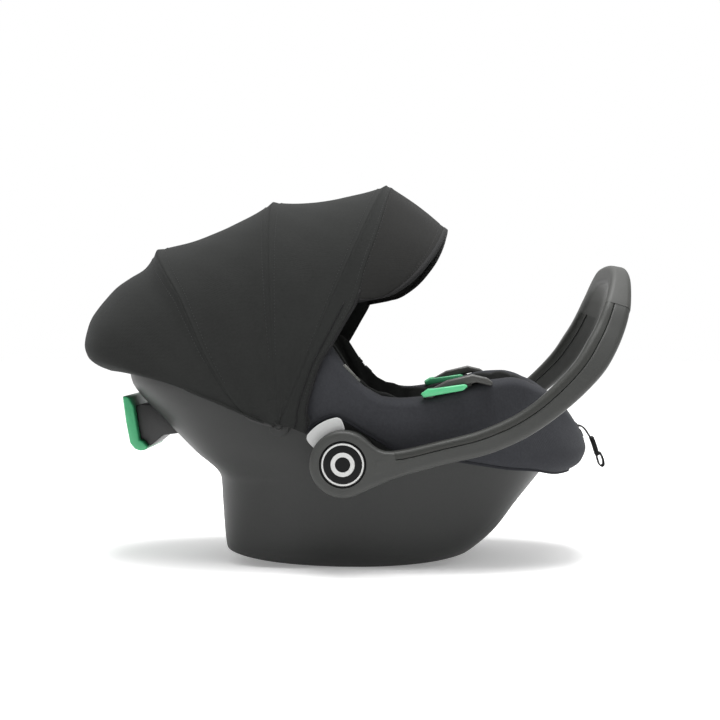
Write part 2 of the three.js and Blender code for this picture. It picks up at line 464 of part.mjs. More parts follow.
// ------------------------------------------------------------------ canopy
const archR = (R, q) => R * Math.abs(Math.sin(q)) ** (2 / ARCH_N);
const archY = (W, q) => -W * Math.sign(Math.cos(q)) * Math.abs(Math.cos(q)) ** (2 / ARCH_N);
const REAR_PHI = [[0, 166], [33, 164], [56, 153.4], [90, 142.5], [125, 136], [160, 131.5], [200, 128.9], [266.5, 128.5]];
const bowAngle = (name, r) => (name === 'rear' ? table(REAR_PHI, r) : BOWS[name].phi);
// point of a bow: q from one side to the other, dr inwards, side step d across the bow plane
function bowPoint(name, q, W, dr = 0, d = 0) {
  const R = BOWS[name].R, r = archR(R, q);
  const phi = bowAngle(name, r) * deg;
  const k = (R - dr) / R;
  return V(PIVOT[0] + r * k * Math.cos(phi) + d * Math.sin(phi), archY(W, q), PIVOT[1] + r * k * Math.sin(phi) - d * Math.cos(phi));
}
const qAt = (R, r) => Math.asin((r / R) ** (ARCH_N / 2));
const IN = V(-70, 0, 230);

const LEVELS = { rear: 'rear_bow', middle: 'middle_bow', front: 'front_bow' };
for (const [name, node] of Object.entries(LEVELS)) {
  const B = BOWS[name];
  const q0 = qAt(B.R, 5);
  const strip = sheet((u, v) => bowPoint(name, lerp(q0, Math.PI - q0, u), B.Y, B.drop, (v - 0.5) * BOW_W), 24, 1, BOW_T, V(PIVOT[0] + 60 * Math.cos(B.phi * deg), 0, PIVOT[1] + 60 * Math.sin(B.phi * deg)));
  let bow = strip;
  for (const [side] of SIDES) bow = bow.add(hubCylinder(side, PIVOT[0], PIVOT[1], 8, B.Y - BOW_T, B.Y, 8, 14));
  for (const [side] of SIDES) bow = bow.subtract(hubCylinder(side, PIVOT[0], PIVOT[1], 3.4, 150, 200, 3.4, 10));
  add(node, bow, 'bow');
}
for (const [side, name] of SIDES) {
  const pad = hubCylinder(side, PIVOT[0], PIVOT[1], 12, 165, 181.2, 12, 16).subtract(bucket(SHELL, GAP)).subtract(hubCylinder(side, PIVOT[0], PIVOT[1], 30, 100, 174, 30, 8));
  add('canopy_bracket_' + name, union(pad, hubCylinder(side, PIVOT[0], PIVOT[1], 3, 179, 187.4, 3, 10)), 'bow');
}

const EDGE = 12;      // the cloth starts this far from the pivot
function between(a, b, q, v) {
  // q runs 0..1 from side to side; each bow starts at the same distance from the pivot
  const A = BOWS[a], B = BOWS[b];
  const qa = lerp(qAt(A.R, EDGE), Math.PI - qAt(A.R, EDGE), q), qb = lerp(qAt(B.R, EDGE), Math.PI - qAt(B.R, EDGE), q);
  const p = bowPoint(a, qa, FABRIC_Y), s = bowPoint(b, qb, FABRIC_Y);
  const m = p.clone().lerp(s, v);
  const r = archR(1, qa);
  const dir = V(PIVOT[0], 0, PIVOT[1]).sub(V(m.x, 0, m.z)).normalize();
  return m.addScaledVector(dir, SAG * 4 * v * (1 - v) * r * r);
}
const shy = 0.014;
add('canopy_front_panel', sheet((q, v) => between('middle', 'front', q, lerp(shy, 1 - shy, v)), 18, 4, FABRIC_T, IN), 'canopy');
add('canopy_rear_panel', sheet((q, v) => between('rear', 'middle', q, lerp(0.035, 1 - shy, v)), 18, 4, FABRIC_T, IN), 'canopy');

// back panel: from the rear bow down to the hem round the back of the shell
const BACK_PROFILE = [[-246, 379.5], [-261, 357], [-280, 344], [-297, 332], [-310, 319], [-320, 307], [-328, 294], [-332, 282], [-336, 261], [-332, 247], [-321, 238], [-303, 231]];
const profileLength = BACK_PROFILE.reduce((l, p, i) => (i ? [...l, l[i - 1] + Math.hypot(p[0] - BACK_PROFILE[i - 1][0], p[1] - BACK_PROFILE[i - 1][1])] : [0]), []);
function profile(u) {
  const rows = profileLength.map((l, i) => [l / profileLength[profileLength.length - 1], ...BACK_PROFILE[i]]);
  return [table(rows, u, 1), table(rows, u, 2)];
}
const HEM_Z = [[-303, 231], [-283, 231], [-217, 221], [-168, 206], [-129, 190], [-112, 181.5]];
function backPanel(q, v) {
  const q0 = qAt(BOWS.rear.R, 33);
  const a = lerp(q0, Math.PI - q0, q);
  const A = bowPoint('rear', a, FABRIC_Y);
  const h = q * Math.PI;
  const c = Math.cos(h), s = Math.sin(h);
  const hx = -112 - 191 * Math.abs(s) ** (2 / 2.6);
  const H = V(hx, -FABRIC_Y * Math.sign(c) * Math.abs(c) ** (2 / 2.6), table(HEM_Z, hx));
  const [px, pz] = profile(v);
  const cx = lerp(BACK_PROFILE[0][0], -303, v), cz = lerp(BACK_PROFILE[0][1], 231, v);
  const g = Math.sin(h) ** 1.15;
  const m = A.lerp(H, v);
  return V(m.x + (px - cx) * g, m.y, m.z + (pz - cz) * g);
}
add('canopy_back_panel', sheet((q, v) => backPanel(lerp(0.02, 0.98, q), lerp(0.025, 1, v)), 18, 7, FABRIC_T, V(-150, 0, 250)), 'canopy');

// band ahead of the front bow and the visor
const BAND = [[0, 31], [11.6, 31], [22, 24.5], [46.6, 18.7], [82, 16], [111, 20.3], [141, 24.3], [163.5, 27], [203, 21], [255, 16.4], [310.3, 7]];
function bandPoint(q, v) {
  const B = BOWS.front;
  const a = lerp(qAt(B.R, EDGE), Math.PI - qAt(B.R, EDGE), q);
  return bowPoint('front', a, FABRIC_Y, 0, lerp(0, table(BAND, archR(B.R, a)), v));
}
add('canopy_front_band', sheet((q, v) => bandPoint(q, lerp(0.02, 1, v)), 24, 1, FABRIC_T, IN), 'canopy');
const VISOR_EDGE = [[313, 9.5], [319, 43], [328, 60], [342, 77], [356, 89], [370, 99], [388, 108], [403, 113]];
const VISOR_CORNER_R = 165;
function visorPoint(q, v) {
  const B = BOWS.front;
  const q0 = qAt(B.R, VISOR_CORNER_R);
  const a = lerp(q0, Math.PI - q0, q);
  const root = bowPoint('front', a, FABRIC_Y, 0, table(BAND, archR(B.R, a)) + 1);
  const h = q * Math.PI;
  const z = 313 + 90 * Math.abs(Math.sin(h)) ** (2 / 2.3);
  const tip = V(table(VISOR_EDGE, z), -168 * Math.sign(Math.cos(h)) * Math.abs(Math.cos(h)) ** (2 / 2.3), z);
  return root.lerp(tip, v);
}
add('visor_panel', sheet((q, v) => visorPoint(lerp(0.012, 0.988, q), lerp(0.0, 1, v)), 18, 2, FABRIC_T, V(0, 0, 330)), 'canopy');
add('visor_wire', sheet((q, v) => {
  const p = visorPoint(lerp(0.03, 0.97, q), lerp(0.9, 0.985, v));
  const c = V(10, 0, 335).sub(p).setY((0 - p.y)).normalize();
  return p.addScaledVector(c, FABRIC_T + 1.6);
}, 18, 1, 1.8, V(0, 0, 330)), 'steel');

// small strips that hold the cover edge to the rim
for (const [side, name] of SIDES) {
  const y = side > 0 ? [187, 188.6] : [-188.6, -187];
  add('rim_tab_' + name, slab([[-6.5, 240], [-3, 243], [15, 225], [11.5, 222]], ...y), 'tab');
}

export default group;
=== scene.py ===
# Infant car seat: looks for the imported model, in metres, in the same frame.
import math
import bpy
import bmesh
import numpy as np
from mathutils import Vector, Matrix


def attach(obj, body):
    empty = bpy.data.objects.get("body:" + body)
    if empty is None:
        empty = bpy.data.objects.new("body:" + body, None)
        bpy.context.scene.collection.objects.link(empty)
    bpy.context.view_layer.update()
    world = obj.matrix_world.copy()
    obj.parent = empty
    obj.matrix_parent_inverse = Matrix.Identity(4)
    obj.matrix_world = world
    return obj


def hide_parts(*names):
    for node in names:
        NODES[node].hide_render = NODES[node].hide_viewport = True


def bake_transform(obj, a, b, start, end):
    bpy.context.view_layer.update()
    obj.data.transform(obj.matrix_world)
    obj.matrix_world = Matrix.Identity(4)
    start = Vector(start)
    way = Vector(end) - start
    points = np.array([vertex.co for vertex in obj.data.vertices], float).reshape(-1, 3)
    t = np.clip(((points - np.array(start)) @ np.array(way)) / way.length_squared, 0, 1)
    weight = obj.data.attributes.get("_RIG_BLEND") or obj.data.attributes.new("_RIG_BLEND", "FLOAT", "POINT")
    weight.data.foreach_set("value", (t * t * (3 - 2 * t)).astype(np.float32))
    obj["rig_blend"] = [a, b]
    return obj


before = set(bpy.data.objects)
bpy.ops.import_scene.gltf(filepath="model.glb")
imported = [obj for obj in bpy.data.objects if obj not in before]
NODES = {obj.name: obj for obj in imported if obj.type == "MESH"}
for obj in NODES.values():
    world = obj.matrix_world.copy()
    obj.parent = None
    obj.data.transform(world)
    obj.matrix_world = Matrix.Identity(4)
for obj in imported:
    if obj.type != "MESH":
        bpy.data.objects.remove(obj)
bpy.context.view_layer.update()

MM = 0.001

# ---------------------------------------------------------------- tables (millimetres)
HUB = (-5.0, 130.0)
PIVOT = (-80.0, 171.0)
ROCKER_R = 690.0
WALL = 4.5
COVER_SKIN = 5.0
LINING = 8.0
ARM_T = 22.0
GRIP_Y = 160.0
ARCH_N = 2.4
FABRIC_Y = 190.2
BOWS = {"front": (310.3, 67.65, 186.7, 7.0), "middle": (267.9, 94.71, 184.9, 5.2), "rear": (266.5, 128.5, 183.1, 5.2)}
SHELL = np.array([
    [-2, -150, 118, 116, 4.2], [8, -154, 133, 131, 4.0], [20, -157.5, 150, 142, 3.8], [40, -160.5, 173, 150, 3.5],
    [72, -163.5, 198, 158, 3.2], [101, -166, 221.5, 166, 3.0], [134, -200.5, 247.5, 176, 2.8], [152, -219, 258.5, 179, 2.7],
    [175, -241.5, 266, 181, 2.6], [203, -269, 268, 181, 2.6], [216, -277.5, 269, 181, 2.6], [232, -281.5, 270, 178, 2.6],
    [262, -290, 271, 171.5, 2.6], [312, -298, 272, 159, 2.6]], float)
HOLLOW = np.array([
    [72, -50, 85, 98, 3.2], [85, -69.5, 110, 118, 3.2], [100, -83.5, 130, 128, 3.0], [130, -111.7, 172, 140, 2.9],
    [160, -140, 208, 148, 2.8], [190, -168, 238, 154, 2.8], [230, -205.6, 252, 157, 2.7], [270, -243.2, 254, 157, 2.7],
    [330, -299.6, 256, 157, 2.7]], float)
RIM = np.array([[-420, 280], [-300, 288], [-250, 295], [-180, 297], [-120, 291], [-70, 277], [-30, 253], [0, 221],
                [20, 206], [45, 194], [62, 192], [81, 193], [110, 200], [135, 206], [150, 210], [172, 214], [190, 215],
                [205, 210], [224, 199], [245, 183], [262, 163], [300, 140], [420, 140]], float)
COVER_TOP = np.array([[-420, 298], [-300, 300], [-250, 306], [-180, 308], [-120, 302], [-70, 287], [-45, 276.5],
                      [-19, 261], [-8, 240.5], [13, 219], [32, 206.3], [45, 204.5], [62, 203], [81, 204.5], [110, 211], [135, 217],
                      [150, 222], [172, 225], [186, 226], [201, 223], [212, 218], [224, 213], [252, 190], [272, 166], [290, 142], [420, 142]], float)
COVER_LOW = np.array([[-420, 160], [-60, 160], [-50, 163], [-45, 167], [-37, 174], [-30, 178.4], [-22, 181.8], [-14, 183], [-8, 181], [-3, 176.5], [1.6, 174],
                      [13, 169], [24.3, 160.4], [35.7, 150.8], [47, 144], [90, 137], [132, 130], [157, 125.5], [183, 121.5], [218, 117.5], [247, 112],
                      [262, 111.5], [420, 111.5]], float)
COVER_FRONT = np.array([[100, 240], [112, 266], [122, 278], [137, 283], [150, 280], [170, 274], [190, 271], [215, 272], [312, 275]], float)
REAR_PHI = np.array([[0, 166], [33, 164], [56, 153.4], [90, 142.5], [125, 136], [160, 131.5], [200, 128.9], [266.5, 128.5]], float)
BAND = np.array([[0, 31], [11.6, 31], [22, 24.5], [46.6, 18.7], [82, 16], [111, 20.3], [141, 24.3], [163.5, 27], [203, 21], [255, 16.4], [310.3, 7]], float)
BACK_PROFILE = np.array([[-246, 379.5], [-261, 357], [-280, 344], [-297, 332], [-310, 319], [-320, 307], [-328, 294], [-332, 282],
                         [-336, 261], [-332, 247], [-321, 238], [-303, 231]], float)
HEM_Z = np.array([[-303, 231], [-283, 231], [-217, 221], [-168, 206], [-129, 190], [-112, 181.5]], float)
VISOR_EDGE = np.array([[313, 9.5], [319, 43], [328, 60], [342, 77], [356, 89], [370, 99], [388, 108], [403, 113]], float)


def pchip(rows, x, col=1):
    """Smooth monotone interpolation of a table."""
    X, Y = rows[:, 0], rows[:, col]
    h = np.diff(X)
    d = np.diff(Y) / h
    m = np.zeros_like(Y)
    for i in range(1, len(X) - 1):
        if d[i - 1] * d[i] > 0:
            w1, w2 = 2 * h[i] + h[i - 1], h[i] + 2 * h[i - 1]
            m[i] = (w1 + w2) / (w1 / d[i - 1] + w2 / d[i])
    m[0], m[-1] = d[0], d[-1]
    x = np.clip(np.asarray(x, float), X[0], X[-1])
    k = np.clip(np.searchsorted(X, x) - 1, 0, len(X) - 2)
    t = (x - X[k]) / h[k]
    return ((1 + 2 * t) * (1 - t) ** 2 * Y[k] + t * (1 - t) ** 2 * h[k] * m[k]
            + t * t * (3 - 2 * t) * Y[k + 1] + t * t * (t - 1) * h[k] * m[k + 1])


def sp(v, p):
    return np.sign(v) * np.abs(v) ** p


def ring(rows, th, z, d=0.0, front=None, widen=0.0):
    xr, xf, w, n = (pchip(rows, z, c) for c in (1, 2, 3, 4))
    if front is not None:
        xf = pchip(front, z)
    xr, xf, w = xr - d, xf + d, w + d + widen
    xc, a = (xr + xf) / 2, (xf - xr) / 2
    return xc + a * sp(np.cos(th), 2 / n), w * sp(np.sin(th), 2 / n)


def solve(fun, lo, hi, it=40):
    """Root of an increasing function, elementwise."""
    lo, hi = np.array(lo, float), np.array(hi, float)
    for _ in range(it):
        m = (lo + hi) / 2
        s = fun(m) > 0
        hi = np.where(s, m, hi)
        lo = np.where(s, lo, m)
    return (lo + hi) / 2


def smooth(x, a, b):
    t = np.clip((np.asarray(x, float) - a) / (b - a), 0, 1)
    return t * t * (3 - 2 * t)


# ---------------------------------------------------------------- mesh helpers
def new_object(name, verts_mm, faces, smooth_faces=True):
    me = bpy.data.meshes.new(name)
    me.from_pydata([tuple(v) for v in (np.asarray(verts_mm, float) * MM)], [], [tuple(int(i) for i in f) for f in faces])
    me.validate()
    me.update()
    if smooth_faces:
        me.polygons.foreach_set("use_smooth", [True] * len(me.polygons))
    o = bpy.data.objects.new(name, me)
    bpy.context.scene.collection.objects.link(o)
    return o


def fix_normals(o):
    bm = bmesh.new()
    bm.from_mesh(o.data)
    bmesh.ops.recalc_face_normals(bm, faces=bm.faces)
    bm.to_mesh(o.data)
    bm.free()
    return o


def grid_faces(nu, nv, cu=False, cv=False, off=0):
    f = []
    for i in range(nu if cu else nu - 1):
        for j in range(nv if cv else nv - 1):
            a, b = i * nv + j, ((i + 1) % nu) * nv + j
            c, d = ((i + 1) % nu) * nv + (j + 1) % nv, i * nv + (j + 1) % nv
            f.append((off + a, off + b, off + c, off + d))
    return f


def normals_of(P, cu=False):
    du = (np.roll(P, -1, 0) - np.roll(P, 1, 0)) if cu else np.gradient(P, axis=0)
    dv = np.gradient(P, axis=1)
    n = np.cross(du, dv)
    return n / (np.linalg.norm(n, axis=2, keepdims=True) + 1e-12)


def sheet_object(name, P, t, inside, cu=False):
    """Closed cloth of thickness t from a grid of outer points, its edges joined by flat strips."""
    nu, nv = P.shape[:2]
    n = normals_of(P, cu)
    c = np.array(inside, float)
    s = np.sign(((c - P) * n).sum(2).mean()) or 1.0
    n = n * s
    Q = P + n * t
    V = np.concatenate([P.reshape(-1, 3), Q.reshape(-1, 3)])
    F = grid_faces(nu, nv, cu)
    m = nu * nv
    F += [tuple(m + i for i in f[::-1]) for f in grid_faces(nu, nv, cu)]
    edge = []
    for i in range(nu if cu else nu - 1):
        k = (i + 1) % nu
        edge.append((i * nv, k * nv))
        edge.append((k * nv + nv - 1, i * nv + nv - 1))
    if not cu:
        for j in range(nv - 1):
            edge.append((j + 1, j))
            edge.append(((nu - 1) * nv + j, (nu - 1) * nv + j + 1))
    F += [(a, b, m + b, m + a) for a, b in edge]
    return fix_normals(new_object(name, V, F))


def apply_mods(o):
    bpy.context.view_layer.update()
    dg = bpy.context.evaluated_depsgraph_get()
    me = bpy.data.meshes.new_from_object(o.evaluated_get(dg))
    o.modifiers.clear()
    o.data = me
    me.polygons.foreach_set("use_smooth", [True] * len(me.polygons))
    me.update()
    return o


def copy_node(node, name):
    src = NODES[node]
    o = bpy.data.objects.new(name, src.data.copy())
    o.matrix_world = src.matrix_world.copy()
    bpy.context.scene.collection.objects.link(o)
    o.data.materials.clear()
    bm = bmesh.new()
    bm.from_mesh(o.data)
    bmesh.ops.remove_doubles(bm, verts=bm.verts, dist=2e-5)
    bmesh.ops.dissolve_limit(bm, angle_limit=math.radians(2), verts=bm.verts, edges=bm.edges)
    bm.to_mesh(o.data)
    bm.free()
    return o


def bevelled(node, width=1.2, segments=3, name=None, angle=28):
    """A copy of a hard CAD piece with rounded edges."""
    o = copy_node(node, name or node + "_moulded")
    b = o.modifiers.new("b", "BEVEL")
    b.width = width * MM
    b.segments = segments
    b.limit_method = "ANGLE"
    b.angle_limit = math.radians(angle)
    b.use_clamp_overlap = True
    b.harden_normals = False
    apply_mods(o)
    me = o.data
    try:
        me.set_sharp_from_angle(angle=math.radians(34))
    except Exception:
        pass
    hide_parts(node)
    return o


def from_bmesh_sub(o, levels):
    s = o.modifiers.new("s", "SUBSURF")
    s.levels = s.render_levels = levels
    return apply_mods(o)


def lathe_y(name, profile, centre, side, seg=96):
    """Revolve (radius, |y|) pairs about the Y direction through centre (X, Z)."""
    pr = np.array(profile, float)
    th = np.linspace(0, 2 * np.pi, seg, endpoint=False)
    P = np.zeros((seg, len(pr), 3))
    P[:, :, 0] = centre[0] + np.cos(th)[:, None] * pr[None, :, 0]
    P[:, :, 2] = centre[1] + np.sin(th)[:, None] * pr[None, :, 0]
    P[:, :, 1] = side * pr[None, :, 1]
    o = new_object(name, P.reshape(-1, 3), grid_faces(seg, len(pr), True))
    bm = bmesh.new()
    bm.from_mesh(o.data)
    bmesh.ops.remove_doubles(bm, verts=bm.verts, dist=1e-5)
    bmesh.ops.holes_fill(bm, edges=[e for e in bm.edges if e.is_boundary], sides=0)
    bmesh.ops.recalc_face_normals(bm, faces=bm.faces)
    bm.to_mesh(o.data)
    bm.free()
    o.data.polygons.foreach_set("use_smooth", [True] * len(o.data.polygons))
    return o


def sharp(o, angle=35):
    try:
        o.data.set_sharp_from_angle(angle=math.radians(angle))
    except Exception:
        pass
    return o


def remesh(o, voxel, iters=2, factor=0.5):
    m = o.modifiers.new("r", "REMESH")
    m.mode = "VOXEL"
    m.voxel_size = voxel * MM
    if iters:
        c = o.modifiers.new("s", "SMOOTH")
        c.factor = factor
        c.iterations = iters
    return apply_mods(o)


def join(name, objs):
    bm = bmesh.new()
    for o in objs:
        bm.from_mesh(o.data)
    me = bpy.data.meshes.new(name)
    bm.to_mesh(me)
    bm.free()
    for o in objs:
        bpy.data.objects.remove(o)
    r = bpy.data.objects.new(name, me)
    bpy.context.scene.collection.objects.link(r)
    me.polygons.foreach_set("use_smooth", [True] * len(me.polygons))
    return r


def prism(name, pts, ya, yb):
    n = len(pts)
    V = [(x, ya, z) for x, z in pts] + [(x, yb, z) for x, z in pts]
    F = [tuple(range(n)), tuple(range(2 * n - 1, n - 1, -1))] + [(i, i + n, (i + 1) % n + n, (i + 1) % n) for i in range(n)]
    return fix_normals(new_object(name, V, F, False))


def cut_with(o, tools):
    for c in tools:
        b = o.modifiers.new("c", "BOOLEAN")
        b.operation = "DIFFERENCE"
        b.solver = "EXACT"
        b.object = c
    apply_mods(o)
    for c in tools:
        bpy.data.objects.remove(c)
    return o


# ---------------------------------------------------------------- materials
EXPOSURE = 0.52


def srgb(r, g, b):
    f = lambda c: ((c / 255 / 12.92) if c / 255 <= 0.04045 else ((c / 255 + 0.055) / 1.055) ** 2.4) * EXPOSURE
    return (f(r), f(g), f(b), 1.0)


def material(name, colour, rough, kind="plastic", bump=0.3, scale=900.0, vary=0.12, sheen=0.0, metal=0.0, coat=0.0, spec=0.5, stitch=None):
    m = bpy.data.materials.new(name)
    m.use_nodes = True
    nt = m.node_tree
    N, L = nt.nodes, nt.links
    p = N["Principled BSDF"]
    p.inputs["Metallic"].default_value = metal
    p.inputs["Specular IOR Level"].default_value = spec
    if sheen:
        p.inputs["Sheen Weight"].default_value = sheen
        p.inputs["Sheen Roughness"].default_value = 0.45
        p.inputs["Sheen Tint"].default_value = (0.8, 0.82, 0.84, 1)
    if coat:
        p.inputs["Coat Weight"].default_value = coat
        p.inputs["Coat Roughness"].default_value = 0.15
    tc = N.new("ShaderNodeTexCoord")
    # slow colour variation
    big = N.new("ShaderNodeTexNoise")
    big.inputs["Scale"].default_value = 14.0
    big.inputs["Detail"].default_value = 4.0
    fine = N.new("ShaderNodeTexNoise")
    fine.inputs["Scale"].default_value = scale * 0.55
    fine.inputs["Detail"].default_value = 2.0
    L.new(tc.outputs["Object"], big.inputs["Vector"])
    L.new(tc.outputs["Object"], fine.inputs["Vector"])
    add = N.new("ShaderNodeMath")
    add.operation = "ADD"
    L.new(big.outputs["Fac"], add.inputs[0])
    L.new(fine.outputs["Fac"], add.inputs[1])
    ramp = N.new("ShaderNodeValToRGB")
    ramp.color_ramp.elements[0].position = 0.55
    ramp.color_ramp.elements[1].position = 1.45 / 1.5
    lo = [max(0, c * (1 - vary)) for c in colour[:3]] + [1]
    hi = [min(1, c * (1 + vary)) for c in colour[:3]] + [1]
    ramp.color_ramp.elements[0].color = lo
    ramp.color_ramp.elements[1].color = hi
    half = N.new("ShaderNodeMath")
    half.operation = "MULTIPLY"
    half.inputs[1].default_value = 0.75
    L.new(add.outputs[0], half.inputs[0])
    L.new(half.outputs[0], ramp.inputs["Fac"])
    L.new(ramp.outputs["Color"], p.inputs["Base Color"])
    rr = N.new("ShaderNodeMapRange")
    rr.inputs["To Min"].default_value = max(0.02, rough - 0.06)
    rr.inputs["To Max"].default_value = min(1, rough + 0.06)
    L.new(big.outputs["Fac"], rr.inputs["Value"])
    L.new(rr.outputs["Result"], p.inputs["Roughness"])
    b = N.new("ShaderNodeBump")
    b.inputs["Strength"].default_value = bump
    if kind in ("weave", "knit", "webbing"):
        sep = N.new("ShaderNodeSeparateXYZ")
        L.new(tc.outputs["Object"], sep.inputs[0])
        waves = []
        for axis in range(3):
            s = N.new("ShaderNodeMath")
            s.operation = "MULTIPLY"
            s.inputs[1].default_value = scale * (1.0 if kind != "webbing" else 1.6) * 2 * math.pi
            L.new(sep.outputs[axis], s.inputs[0])
            w = N.new("ShaderNodeMath")
            w.operation = "SINE"
            L.new(s.outputs[0], w.inputs[0])
            waves.append(w)
        a = N.new("ShaderNodeMath")
        a.operation = "MULTIPLY" if kind == "knit" else "ADD"
        L.new(waves[0].outputs[0], a.inputs[0])
        L.new(waves[2].outputs[0], a.inputs[1])
        c = N.new("ShaderNodeMath")
        c.operation = "ADD"
        L.new(a.outputs[0], c.inputs[0])
        L.new(waves[1].outputs[0], c.inputs[1])
        e = N.new("ShaderNodeMath")
        e.operation = "MULTIPLY_ADD"
        e.inputs[1].default_value = 0.25
        L.new(c.outputs[0], e.inputs[0])
        L.new(fine.outputs["Fac"], e.inputs[2])
        L.new(e.outputs[0], b.inputs["Height"])
        b.inputs["Distance"].default_value = 0.0005
    else:
        L.new(fine.outputs["Fac"], b.inputs["Height"])
        b.inputs["Distance"].default_value = 0.0003
    L.new(b.outputs["Normal"], p.inputs["Normal"])
    return m


M = {
    "shell": material("shell_grain", srgb(52, 53, 52), 0.5, bump=0.18, scale=700, vary=0.06, spec=0.25),
    "shell_dark": material("black_moulding", srgb(34, 34, 34), 0.5, bump=0.18, scale=900, vary=0.1),
    "cover": material("cover_knit", srgb(66, 67, 71), 0.95, "knit", bump=0.3, scale=620, vary=0.1, sheen=0.03, spec=0.1),
    # painted shade: a darker copy of the cover knit, used on the binding tape round the cover's lower edge
    "lip": material("cover_knit_painted_shade", srgb(50, 51, 55), 0.95, "knit", bump=0.3, scale=620, vary=0.1, sheen=0.03, spec=0.1),
    "lining": material("lining_knit", srgb(66, 67, 66), 0.95, "knit", bump=0.35, scale=560, vary=0.12, sheen=0.02, spec=0.1),
    "pad": material("pad_knit", srgb(72, 73, 73), 0.95, "knit", bump=0.35, scale=520, vary=0.12, sheen=0.02, spec=0.1),
    "canopy": material("canopy_weave", srgb(49, 50, 49), 0.92, "weave", bump=0.25, scale=650, vary=0.09, sheen=0.03, spec=0.1),
    "visor": material("visor_weave", srgb(46, 46, 45), 0.92, "weave", bump=0.25, scale=650, vary=0.09, sheen=0.03, spec=0.1),
    "binding": material("binding_tape", srgb(20, 20, 21), 0.85, "webbing", bump=0.3, scale=500, vary=0.1, spec=0.3),
    "handle": material("handle_grain", srgb(72, 73, 71), 0.48, bump=0.2, scale=800, vary=0.05, spec=0.25),
    "handle_top": material("handle_cover_grain", srgb(59, 60, 57), 0.5, bump=0.2, scale=800, vary=0.05, spec=0.25),
    "grip": material("grip_rubber_skin", srgb(66, 67, 64), 0.62, bump=0.35, scale=500, vary=0.05, spec=0.4),
    "cap": material("cap_black_satin", srgb(22, 22, 23), 0.5, bump=0.05, scale=600, vary=0.08, spec=0.12),
    "white": material("emblem_white", srgb(232, 232, 230), 0.45, bump=0.04, scale=600, vary=0.02),
    "strip": material("label_strip_grey", srgb(150, 150, 146), 0.7, "webbing", bump=0.3, scale=420, vary=0.08, spec=0.2),
    "tab": material("release_grey", srgb(228, 229, 228), 0.5, bump=0.12, scale=700, vary=0.03),
    "guide": material("guide_grey_grain", srgb(66, 66, 63), 0.5, bump=0.2, scale=800, vary=0.06),
    "green": material("guide_green_satin", srgb(96, 220, 152), 0.42, bump=0.1, scale=700, vary=0.05, coat=0.1),
    # painted shade: a darker copy of the guide green for the inner pads and the shoulder guide, standing in for the
    # shade they sit in
    "green_painted_shade": material("guide_green_painted_shade", srgb(82, 208, 142), 0.45, bump=0.1, scale=700, vary=0.05, coat=0.1),
    "web": material("webbing_black", srgb(40, 40, 41), 0.8, "webbing", bump=0.5, scale=420, vary=0.15, sheen=0.02, spec=0.3),
    "buckle": material("buckle_black", srgb(24, 24, 25), 0.4, bump=0.15, scale=800, vary=0.08),
    "red": material("button_red", srgb(168, 28, 24), 0.38, bump=0.05, scale=700, vary=0.05),
    "steel": material("zinc_steel", (0.55, 0.56, 0.57, 1), 0.32, bump=0.1, scale=900, vary=0.08, metal=1.0),
    "foam": material("foam_bead", srgb(44, 44, 45), 0.9, bump=0.8, scale=260, vary=0.1),
    "thread": material("thread", srgb(30, 31, 31), 0.8, bump=0.2, scale=900, vary=0.1),
}


def give(o, key, body=None, *nodes):
    o.data.materials.clear()
    o.data.materials.append(M[key])
    if body:
        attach(o, body)
    if nodes:
        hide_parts(*nodes)
    return o


# ---------------------------------------------------------------- shell
def rocker(x):
    return x * x / (2 * ROCKER_R)


